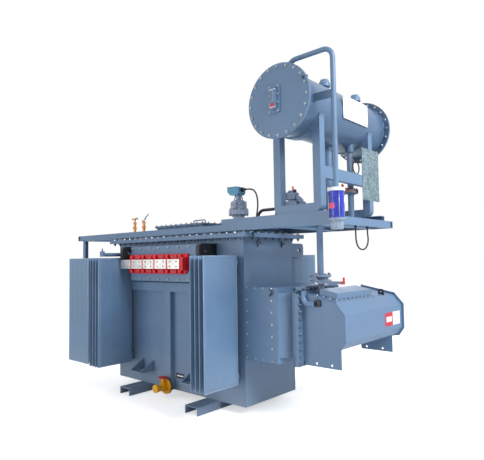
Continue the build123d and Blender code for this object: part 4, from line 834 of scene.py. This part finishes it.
def add_welds():
    """Weld beads where plates meet: stiffeners, turret, throat, brackets, saddles and pipes."""
    welds = Gathered()
    bottom_z = high["base_channels"].z
    top_z = low["tank_lid"].z - RIM_THICKNESS
    centre_x = (TANK_LEFT + TANK_RIGHT) / 2
    for y in (TANK_FRONT, TANK_BACK):
        for z in BAND_Z:
            welds.bead((TANK_LEFT + 100, y, z), (TANK_RIGHT - 100, y, z))
        for x in (centre_x - 108.5, centre_x - 9.5):
            welds.bead((x, y, bottom_z), (x, y, BAND_Z[0]))
        for x in (TANK_LEFT, TANK_RIGHT):
            welds.bead((x, y, top_z), (x, y, bottom_z), CORNER_BEAD)
        welds.bead((TANK_LEFT, y, top_z), (TANK_RIGHT, y, top_z), THIN_BEAD)
        for x in BRACKET_X:
            left, right = x - BRACKET_HALF, x + BRACKET_HALF
            for edge in (left, right):
                welds.bead((edge, y, 225), (edge, y, 341), THIN_BEAD)
            welds.bead((left, y, 224), (right, y, 224), THIN_BEAD)
    for x in (TANK_LEFT, TANK_RIGHT):
        welds.bead((x, TANK_FRONT, top_z), (x, TANK_BACK, top_z), THIN_BEAD)
    turret_low, turret_high = low["lv_mounting_plate"], high["lv_mounting_plate"]
    for z in (turret_low.z, turret_high.z):
        welds.bead((turret_low.x, TANK_FRONT, z), (turret_high.x, TANK_FRONT, z))
    for x in (turret_low.x, turret_high.x):
        welds.bead((x, TANK_FRONT, turret_low.z), (x, TANK_FRONT, turret_high.z))
    for z in THROAT_Z:
        welds.bead((TANK_RIGHT, TANK_FRONT, z), (TANK_RIGHT, TANK_BACK, z))
    for y in (TANK_FRONT, TANK_BACK):
        welds.bead((TANK_RIGHT, y, THROAT_Z[0]), (TANK_RIGHT, y, THROAT_Z[1]))
    for name in ("support_frame_front", "support_frame_rear"):
        foot_z = low[name].z
        for y in (low[name].y, high[name].y):
            saddle = [
                (SHELL.x + SHELL_RADIUS * math.sin(angle), y,
                 SHELL.z - SHELL_RADIUS * math.cos(angle))
                for angle in spread(-1.05, 1.05, 0.05)
            ]
            welds.tube(saddle, BEAD, sides=6, wobble=0.2)
            for left, right in (
                (low[name].x + 11, low[name].x + 82), (high[name].x - 82, high[name].x - 11),
            ):
                welds.bead((left, y, foot_z), (right, y, foot_z), THIN_BEAD)
    for y in (low["conservator_shell"].y + 13, high["conservator_shell"].y - 13):
        welds.ring_bead((SHELL.x, y, SHELL.z), FRONT, SHELL_RADIUS)
    for y in (low["filler_caps"].y + 55, high["filler_caps"].y - 55):
        welds.ring_bead((SHELL.x, y, SHELL.z + 257), UP, 25)
    welds.ring_bead((RELIEF_FLANGE.x, 0, low["relief_device"].z), UP, 61)
    pipe_low = low["relay_pipe"]
    welds.ring_bead((pipe_low.x + 35, middle["relay_pipe"].y, pipe_low.z), UP, 36)
    box_front_y = -265
    for (x, z), (next_x, next_z) in zip(BOX_PROFILE[:4], BOX_PROFILE[1:]):
        welds.bead((x, box_front_y, z), (next_x, box_front_y, next_z), THIN_BEAD)
    welds.build("weld_beads", paint, "blue_grey_paint")


# Details of single devices


def add_terminal_details():
    """Lobed red blocks above and below the terminals, and the studs between them."""
    blocks, studs = Gathered(), Gathered()
    board_low, board_high = low["lv_insulating_board"], high["lv_insulating_board"]
    palm_low, palm_high = low["lv_terminals"], high["lv_terminals"]
    face_y = board_high.y - 25
    board_left = -700
    gap = 17.5
    pitch = (palm_high.x - palm_low.x + gap) / TERMINAL_COUNT
    centres = [palm_low.x + index * pitch + (pitch - gap) / 2 for index in range(TERMINAL_COUNT)]
    rows = ((palm_high.z + 3, board_high.z - 5), (board_low.z + 5, palm_low.z - 3))
    for centre_x in centres:
        for bottom, top in rows:
            for offset, width, depth in ((-58, 50, 34), (0, 54, 46), (58, 50, 34)):
                left, right = centre_x + offset - width / 2, centre_x + offset + width / 2
                if left >= board_left:
                    blocks.block((left, face_y - depth, bottom), (right, face_y, top), bevel=9)
            if centre_x > board_left + 10:
                studs.bolt((centre_x, face_y - 45, (bottom + top) / 2), FRONT, 8, 5)
        if centre_x < centres[-1]:
            edge_x = centre_x + pitch / 2
            blocks.block(
                (edge_x - 6, palm_low.y - 4, palm_low.z - 14),
                (edge_x + 6, face_y, palm_high.z + 14), bevel=4,
            )
    blocks.block(
        (palm_high.x + 3, face_y - 62, palm_low.z - 20),
        (palm_high.x + 48, face_y, palm_high.z + 20), bevel=14,
    )
    blocks.build("insulating_blocks", red_board, "red_insulation")
    for centre_x in centres:
        for x in (centre_x - 8, centre_x + 8):
            studs.disc((x, palm_low.y, middle["lv_terminals"].z), FRONT, 3, 0.8, 12)
    studs.build("terminal_studs", bolt_steel, "galvanised_steel")


def add_gauge():
    """Sight gauge of the conservator: bolts, pale scale with black marks and red low-level part."""
    gauge_low, gauge_high = low["oil_level_gauge"], high["oil_level_gauge"]
    x, y = middle["oil_level_gauge"].x, gauge_low.y
    bottom, top = gauge_low.z, gauge_high.z
    bolts = Gathered()
    for bolt_x, bolt_z in round_node("oil_level_gauge", FRONT_FACE, 68, 12, 12, 13, 13):
        bolts.bolt((bolt_x, gauge_high.y - 14, bolt_z), FRONT, 9, 5)
    for z in (bottom + 44, top - 44):
        bolts.block((x - 30, y - 3, z - 5), (x + 30, y, z + 5), bevel=1.5)
    bolts.build("gauge_bolts", bright_steel, "galvanised_steel")
    scale = Gathered()
    scale.block((x - 11, y + 0.5, bottom + 88), (x + 11, y - 1.5, top - 54))
    scale.build("gauge_scale", pale_casting, "white_plate")
    red = Gathered()
    red.block((x - 17, y - 2, bottom + 34), (x + 17, y, bottom + 76))
    red.build("gauge_low_mark", label_red, "red_paint")
    marks = Gathered()
    for z in spread(bottom + 94, top - 60, 10):
        marks.block((x - 10, y - 2.2, z), (x + 6, y - 1.5, z + 4))
    marks.build("gauge_marks", label_black, "black_paint")


def add_breather_details():
    """Tie rods and clear wall of the breather, its nuts, blank pink label and cup rings."""
    axis = Vector((middle["breather_gel"].x, middle["breather_gel"].y, 0))
    gel_bottom, gel_top = low["breather_gel"].z, high["breather_gel"].z
    cap_top = high["breather_cap"].z
    cup_bottom = low["breather_cup"].z
    ring_z = gel_bottom - 16
    rods = Gathered(axis)
    for spot in round_circle(CENTRE, UP, 63, 4, BREATHER_VIEW_SIDE - 1.25):
        rods.tube([spot + UP * ring_z, spot + UP * gel_top], 3, 10)
        rods.bolt(spot + UP * cap_top, UP, 6, 5)
    rods.disc((0, 0, cap_top), UP, 32, 9, 6, bore=21.5)
    rods.build("breather_tie_rods", bright_steel, "galvanised_steel")
    wall = Gathered(axis)
    wall_radius = 59.6
    wall.turned(((wall_radius, gel_bottom), (wall_radius, gel_top)), 64, smooth=True)
    wall.build("breather_clear_wall", thin_glass, "clear_plastic")
    label = Gathered(axis)
    label_radius = 60.4
    angles = spread(BREATHER_VIEW_SIDE - 1.3, BREATHER_VIEW_SIDE - 0.25, 0.08)
    points = [
        (label_radius * math.cos(angle), label_radius * math.sin(angle), gel_bottom + rise)
        for angle in angles for rise in (70, 112)
    ]
    faces = [(2 * i, 2 * i + 2, 2 * i + 3, 2 * i + 1) for i in range(len(angles) - 1)]
    label.add(points, faces, smooth=True)
    label.build("breather_label", pink, "white_plate")
    rings = Gathered(axis)
    rings.disc((0, 0, ring_z - 3), UP, 66, 4, 48, bore=50.5)
    for height in (12, 30):
        rings.disc((0, 0, cup_bottom + height), UP, 52, 3, 48, bore=50.2)
    for spot in round_circle(CENTRE, UP, 51, 12):
        rings.tube([spot + UP * (cup_bottom + 6), spot + UP * (ring_z - 2)], 1.6, 8)
    rings.build("breather_cup_ribs", glass, "clear_plastic")


def add_relief_details():
    """Spring posts round the relief device's dome, collars on it and a lid on its head."""
    posts = Gathered(RELIEF_FLANGE)
    for spot in round_circle(CENTRE, UP, 84, 4, 0.4):
        posts.tube([spot, spot + UP * 92], 4, 8)
        posts.bolt(spot + UP * 76, UP, 8)
        spring = []
        for turn in spread(0, 7, 0.1):
            angle = math.tau * turn
            spring.append(
                spot + Vector((9 * math.cos(angle), 9 * math.sin(angle), 8 + 9 * turn))
            )
        posts.tube(spring, 1.6, 6)
    posts.build("relief_springs", bright_steel, "galvanised_steel")
    collars = Gathered(RELIEF_FLANGE)
    for height, radius in ((6, 77), (50, 76), (78, 75)):
        collars.disc((0, 0, height), UP, radius, 8, 40, bore=71)
    dome = [(72 * math.cos(angle), 84 + 30 * math.sin(angle)) for angle in spread(0, 1.45, 0.15)]
    collars.turned(dome, 40, smooth=True)
    strut_rise = 46
    strut_z = low["relief_device_head"].z - strut_rise - RELIEF_FLANGE.z
    for spot in round_circle((0, 0, strut_z), UP, 44, 4, 0.78):
        inward = Vector((-spot.x * 0.35, -spot.y * 0.35, strut_rise))
        collars.tube([spot, spot + inward], 6, 8)
    collars.build("relief_collars", pale_casting, "cast_grey")
    head_low, head_high = low["relief_device_head"], high["relief_device_head"]
    lid = Gathered((head_low.x, 0, head_high.z - 6))
    tilt = Matrix.Rotation(0.03, 4, "Y")
    lid.block((-6, -58, 0), (128, 58, 10), bevel=4, place=tilt)
    for x, y in ((8, -44), (8, 44), (112, -44), (112, 44)):
        lid.turned(((4, 0), (4, 3), (0, 3)), 12, tilt @ Matrix.Translation((x, y, 10)))
    lid.build("relief_head_lid", casting, "cast_grey")
    boot = Gathered()
    boot.disc((head_high.x, 0, 2175), RIGHT, 24, 14, 28)
    boot.build("relief_cable_boot", black_rubber, "black_sheath")


def add_relay_details():
    """Windows, terminal box, test valves and knobs of the gas relay."""
    body, panes = Gathered(RELAY), Gathered(RELAY)
    frame_width, frame_half, frame_depth = 58, 42, 9
    for side in (-1, 1):
        wall_y = side * 65
        face_y = wall_y + side * frame_depth
        for left in (-62, 4):
            first_y, last_y = sorted((wall_y, face_y))
            body.block(
                (left, first_y, -frame_half), (left + frame_width, last_y, frame_half), bevel=3
            )
            for x, z in ((left + 8, -34), (left + 50, -34), (left + 8, 34), (left + 50, 34)):
                body.bolt((x, face_y, z), (0, side, 0), 5)
            first_y, last_y = sorted((face_y, face_y + side))
            panes.block((left + 17, first_y, -26), (left + 41, last_y, 26))
    body.block((-72, -52, 65), (72, 52, 80), bevel=4)
    body.block((-60, -48, 92), (52, 48, 166), bevel=9)
    body.disc((0, 0, 166), UP, 46, 8, 36)
    body.tube([(40, 0, 128), (96, 0, 84)], 26, 24)
    body.disc((96, 0, 62), UP, 30, 30, 24)
    test_foot, test_top = (-48, -60, 80), (-48, -60, 156)
    body.tube([test_foot, test_top], 10, 16)
    lever_foot, lever_top = (40, -30, 150), (40, -30, 176)
    body.tube([lever_foot, lever_top], 9, 16)
    body.build("relay_castings", casting, "cast_grey")
    panes.build("relay_windows", glass, "clear_plastic")
    knob = ((0, 0), (12, 0), (14, 5), (14, 20), (10, 26), (0, 26))
    red = Gathered(RELAY)
    red.turned(knob, 20, facing(test_top, UP), smooth=True)
    red.tube([lever_top, (32, -36, 220)], 8, 14)
    red.build("relay_red_knobs", red_enamel, "red_paint")
    dark = Gathered(RELAY)
    dark.turned(knob, 20, facing((48, -30, 172), (1, -0.4, 0.3)), smooth=True)
    dark.turned(knob, 20, facing((-50, -74, 20), FRONT))
    dark.build("relay_black_knobs", black_rubber, "black_sheath")


def add_valve_details():
    """The lever's red grip, the small red lever of the upper valve and the drain's rear flange."""
    lever_low, lever_high = low["isolating_lever"], high["isolating_lever"]
    tip_x, bar_z = lever_high.x, lever_low.z + 12
    near_y, far_y = lever_low.y - 2, lever_high.y + 2
    grip = Gathered()
    grip.block((tip_x - 34, near_y, bar_z - 13), (tip_x, far_y, bar_z + 13), bevel=3)
    grip.block((tip_x - 16, near_y, bar_z + 8), (tip_x, far_y, bar_z + 46), bevel=3)
    grip.build("lever_grip", red_enamel, "red_paint", body="isolating_lever")
    small = Gathered(UPPER_VALVE)
    small.disc(CENTRE, UP, 44, 12, 28, bore=29)
    small.block((-11, -150, 2), (11, -36, 10), bevel=2)
    small.tube([(0, -138, 8), (0, -158, 34)], 11, 14)
    small.build("upper_valve_lever", red_enamel, "red_paint")
    gasket = Gathered(UPPER_VALVE)
    gasket.disc((0, 0, -21), UP, 71.5, 9, 40, bore=69)
    gasket.build("upper_valve_gasket", brass, "brass")
    flange_thickness = 14
    dark = Gathered(DRAIN_FLANGE)
    dark.disc(CENTRE, BACK, 80, flange_thickness, 48, bore=30.5)
    dark.bolts(round_circle((0, flange_thickness, 0), BACK, *DRAIN_BOLT_CIRCLE), BACK, 9, 5)
    dark.build("drain_rear_flange", black_paint, "black_paint")


def add_thermometers():
    """Heads on the lid's pockets: hexagons, a bent outlet with its cap, and a slanted handle."""
    pocket_low, pocket_high = low["thermometer_pockets"], high["thermometer_pockets"]
    inset = 18
    first = Vector((pocket_low.x + inset, middle["thermometer_pockets"].y, pocket_high.z))
    second_x = pocket_high.x - inset - first.x
    heads = Gathered(first)
    for x in (0, second_x):
        for z, radius, height in (
            (pocket_low.z - first.z, 32, 24), (-66, 26, 22), (-4, 23, 18),
        ):
            heads.disc((x, 0, z), UP, radius, height, 6)
    bend = [
        (30 - 30 * math.cos(angle), 0, 34 + 30 * math.sin(angle)) for angle in spread(0, 2.5, 0.25)
    ]
    heads.tube([(0, 0, 8), *bend], 9, 14)
    heads.tube([(-54, 0, 52), (-26, 0, 60), (10, 0, 44)], 8, 14)
    heads.build("thermometer_heads", brass, "brass")
    handle = Gathered(first + RIGHT * second_x)
    handle.tube([(-30, 0, 22), (8, 0, 30), (44, 0, 70), (92, 0, 100)], 8, 12)
    handle.tube([(0, 0, 10), (0, 0, 34)], 15, 18)
    handle.build("thermometer_handle", bright_steel, "galvanised_steel")


def add_straps():
    """Short bonding straps that bridge the bolted joints, each with its start, end and bow."""
    straps = Gathered()
    lid_low, lid_high = low["tank_lid"], high["tank_lid"]
    cover = Vector((1180, low["inspection_cover"].y, 0))
    throat_x = high["hv_throat"].x
    shell_x, shell_z = SHELL.x + 252, SHELL.z + 128
    for start, end, bow in (
        ((lid_high.x, -365, lid_high.z - 4), (lid_high.x, -365, lid_low.z - 26), (14, 0, 0)),
        (cover + UP * 1172, cover + UP * 1120, (30, -20, 0)),
        ((throat_x - 15, -334, 1176), (throat_x + 15, -334, 1146), (0, -34, 0)),
        ((shell_x, -688, shell_z), (shell_x, -648, shell_z), (26, 0, 16)),
    ):
        start, end, bow = Vector(start), Vector(end), Vector(bow)
        path = [
            start.lerp(end, share) + bow * 4 * share * (1 - share) for share in spread(0, 1, 0.1)
        ]
        straps.tube(path, 6, 10)
        for spot in (start, end):
            straps.turned(((0, -4), (12, -4), (12, 6), (0, 6)), 14, facing(spot, bow))
    straps.build("bonding_straps", teal, "black_paint")


def add_plates():
    """Screws of the blank plates, and the blank labels on the cable box and the tank."""
    screws = Gathered()
    sign_low, sign_high = low["sign_plate"], high["sign_plate"]
    for y in (sign_low.y + 14, sign_high.y - 14):
        for z in (sign_low.z + 14, sign_high.z - 14):
            screws.bolt((sign_high.x, y, z), RIGHT, 6)
    plate_x, plate_y = high["back_plate"].x, low["back_plate"].y
    for across, z in ((30, 2150), (110, 2150), (150, 2400), (200, 2400)):
        screws.bolt((plate_x, plate_y + across, z), RIGHT, 7)
    screws.build("plate_screws", bright_steel, "galvanised_steel")
    skin = 0.8
    side_x = high["cable_box"].x
    first_y, middle_y, last_y = 476, 637, 798
    bottom, top = 795, 919
    red = Gathered()
    red.block((side_x, first_y, bottom), (side_x + skin, middle_y, top))
    red.build("label_red_half", label_red, "red_paint")
    pale = Gathered()
    pale.block((side_x, middle_y, bottom), (side_x + skin, last_y, top))
    pale.block(
        (side_x + skin, first_y + 24, bottom + 38),
        (side_x + 1.5 * skin, middle_y - 24, top - 38),
    )
    pale.build("label_white_half", white, "white_plate")
    left, right = -115.75, 10.25
    black = Gathered()
    black.block((left, TANK_FRONT - skin, 204), (right, TANK_FRONT, 254))
    black.build("black_label", label_black, "black_paint")
    bar = Gathered()
    bar.block(
        (left + 14, TANK_FRONT - 1.5 * skin, 222), (right - 14, TANK_FRONT - skin, 236)
    )
    bar.build("black_label_bar", white, "white_plate")


def add_bosses():
    """Two earthing bosses with their bolts, high on the tank's right end."""
    bosses = Gathered((TANK_RIGHT, 0, 0))
    boss_length = 22
    for y, z in ((-177, 1598), (212, 1593)):
        bosses.disc((0, y, z), RIGHT, 25, boss_length, 28)
        bosses.bolt((boss_length, y, z), RIGHT, 12, 12)
        bosses.block((0, y - 9, z - 42), (10, y + 9, z - 18), bevel=2)
    bosses.build("earthing_bosses", bolt_steel, "galvanised_steel")


def add_ring_wheel():
    """A small dark ring wheel with its stem, beside the bare plate on the tie beam."""
    radius, stem = 58, 8
    beam_high = high["tie_beam"]
    ring = Gathered((beam_high.x - 25, 205, beam_high.z + radius + 6))
    spots = list(round_circle(CENTRE, RIGHT, radius, 40))
    ring.tube(spots + spots[:1], 6, 12)
    ring.tube([(0, 0, -radius), (0, 0, -radius - stem)], 9, 16)
    ring.build("ring_wheel", black_rubber, "black_sheath")


# Free cables, in metres


def add_cable(name, route, diameter):
    """A free cable in place of its node, smooth along the route's points."""
    curve = bpy.data.curves.new(name, "CURVE")
    curve.dimensions = "3D"
    curve.bevel_depth = diameter / 2
    curve.bevel_resolution = 4
    curve.use_fill_caps = True
    curve.resolution_u = 12
    spline = curve.splines.new("NURBS")
    spline.points.add(len(route) - 1)
    for point, place in zip(spline.points, route):
        point.co = (*place, 1)
    spline.order_u = 3
    spline.use_endpoint_u = True
    curve.materials.append(black_rubber)
    cable = put(name + "_dressed", curve)
    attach(cable, "root")
    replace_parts(cable, name)
    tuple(route[0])


RELIEF_ROUTE = [
    ((861.25 + x) * MM, 0, (1690 + z) * MM)
    for x, z in (
        (-295, 485), (-230, 485), (-173, 453), (-146, 388), (-139, 300),
        (-156, 212), (-170, 130), (-177.5, 74), (-177.5, 25),
    )
]
GAUGE_ROUTE = [
    (1886.25 * MM, (y - 390) * MM, (1712 - drop) * MM)
    for y, drop in (
        (262, 20), (262, 74), (266, 134), (298, 182), (352, 203),
        (412, 200), (464, 170), (488, 117), (474, 64), (474, 20),
    )
]


# Floor, lamps and world, in metres


def add_floor():
    """A plain pale floor that glows faintly to the camera, so that no horizon shows."""
    shader = Shader("floor", 0.9)
    tone = shader.noise(0.6, 2)
    shader.colour(shader.ramp(tone, (0.3, (0.88, 0.88, 0.88, 1)), (0.7, (0.92, 0.92, 0.92, 1))))
    path = shader.node("ShaderNodeLightPath").outputs
    shader.set(shader.surface["Emission Strength"], shader.steps(path["Is Camera Ray"], 0.0, 0.55))
    shader.set(shader.surface["Emission Color"], (1, 1, 1, 1))
    reach = 30
    mesh = bpy.data.meshes.new("floor")
    mesh.from_pydata(
        [(-reach, -reach, 0), (reach, -reach, 0), (reach, reach, 0), (-reach, reach, 0)],
        [], [(0, 1, 2, 3)],
    )
    mesh.materials.append(shader.material)
    floor = put("floor", mesh)


def add_lamp(name, place, target, size, power, colour):
    """A large soft lamp that points at the target."""
    data = bpy.data.lights.new(name, "AREA")
    data.shape = "DISK"
    data.size = size
    data.energy = power
    data.color = colour
    lamp = put(name, data)
    lamp.location = place
    lamp.rotation_euler = (Vector(target) - Vector(place)).to_track_quat("-Z", "Y").to_euler()


def add_world():
    """An even surround: plain white where it is seen, and cooler and softer as light."""
    world = bpy.data.worlds.new("world")
    world.use_nodes = True
    world.node_tree.nodes.clear()
    graph = Graph(world.node_tree)
    seen = graph.node("ShaderNodeBackground", Color=(1, 1, 1, 1))
    light = graph.node("ShaderNodeBackground", Color=(0.93, 0.965, 1.0, 1), Strength=0.5)
    path = graph.node("ShaderNodeLightPath").outputs
    white_share = path["Is Camera Ray"]
    for kind in ("Is Glossy Ray", "Is Transmission Ray"):
        either = graph.node("ShaderNodeMath")
        either.operation = "MAXIMUM"
        graph.set(either.inputs[0], white_share)
        graph.set(either.inputs[1], path[kind])
        white_share = either.outputs["Value"]
    mix = graph.node("ShaderNodeMixShader", Fac=white_share)
    graph.set(mix.inputs[1], light.outputs["Background"])
    graph.set(mix.inputs[2], seen.outputs["Background"])
    graph.node("ShaderNodeOutputWorld", Surface=mix.outputs["Shader"])
    bpy.context.scene.world = world


add_camera()
dress_nodes()
add_radiators()
add_rim_bolts()
add_front_bolts()
add_throat_flange_bolts()
add_conservator_bolts()
add_cable_box_bolts()
add_lid_bolts()
add_valve_bolts()
add_welds()
add_terminal_details()
add_gauge()
add_breather_details()
add_relief_details()
add_relay_details()
add_valve_details()
add_thermometers()
add_straps()
add_plates()
add_bosses()
add_ring_wheel()
add_cable("relief_cable", RELIEF_ROUTE, 16 * MM)
add_cable("gauge_cable", GAUGE_ROUTE, 13 * MM)
add_floor()
add_world()
add_lamp("key", (8, -0.5, 6.5), (0.4, 0, 1.4), 4, 800, (0.88, 0.95, 1))
add_lamp("fill", (-3, -9, 1.2), (0, 0, 1.0), 6, 320, (1, 0.99, 0.98))
add_lamp("rear", (-6, 8, 4), (-0.3, 0, 1.3), 7, 420, (0.95, 0.98, 1))

bpy.context.scene.view_settings.view_transform = "Standard"
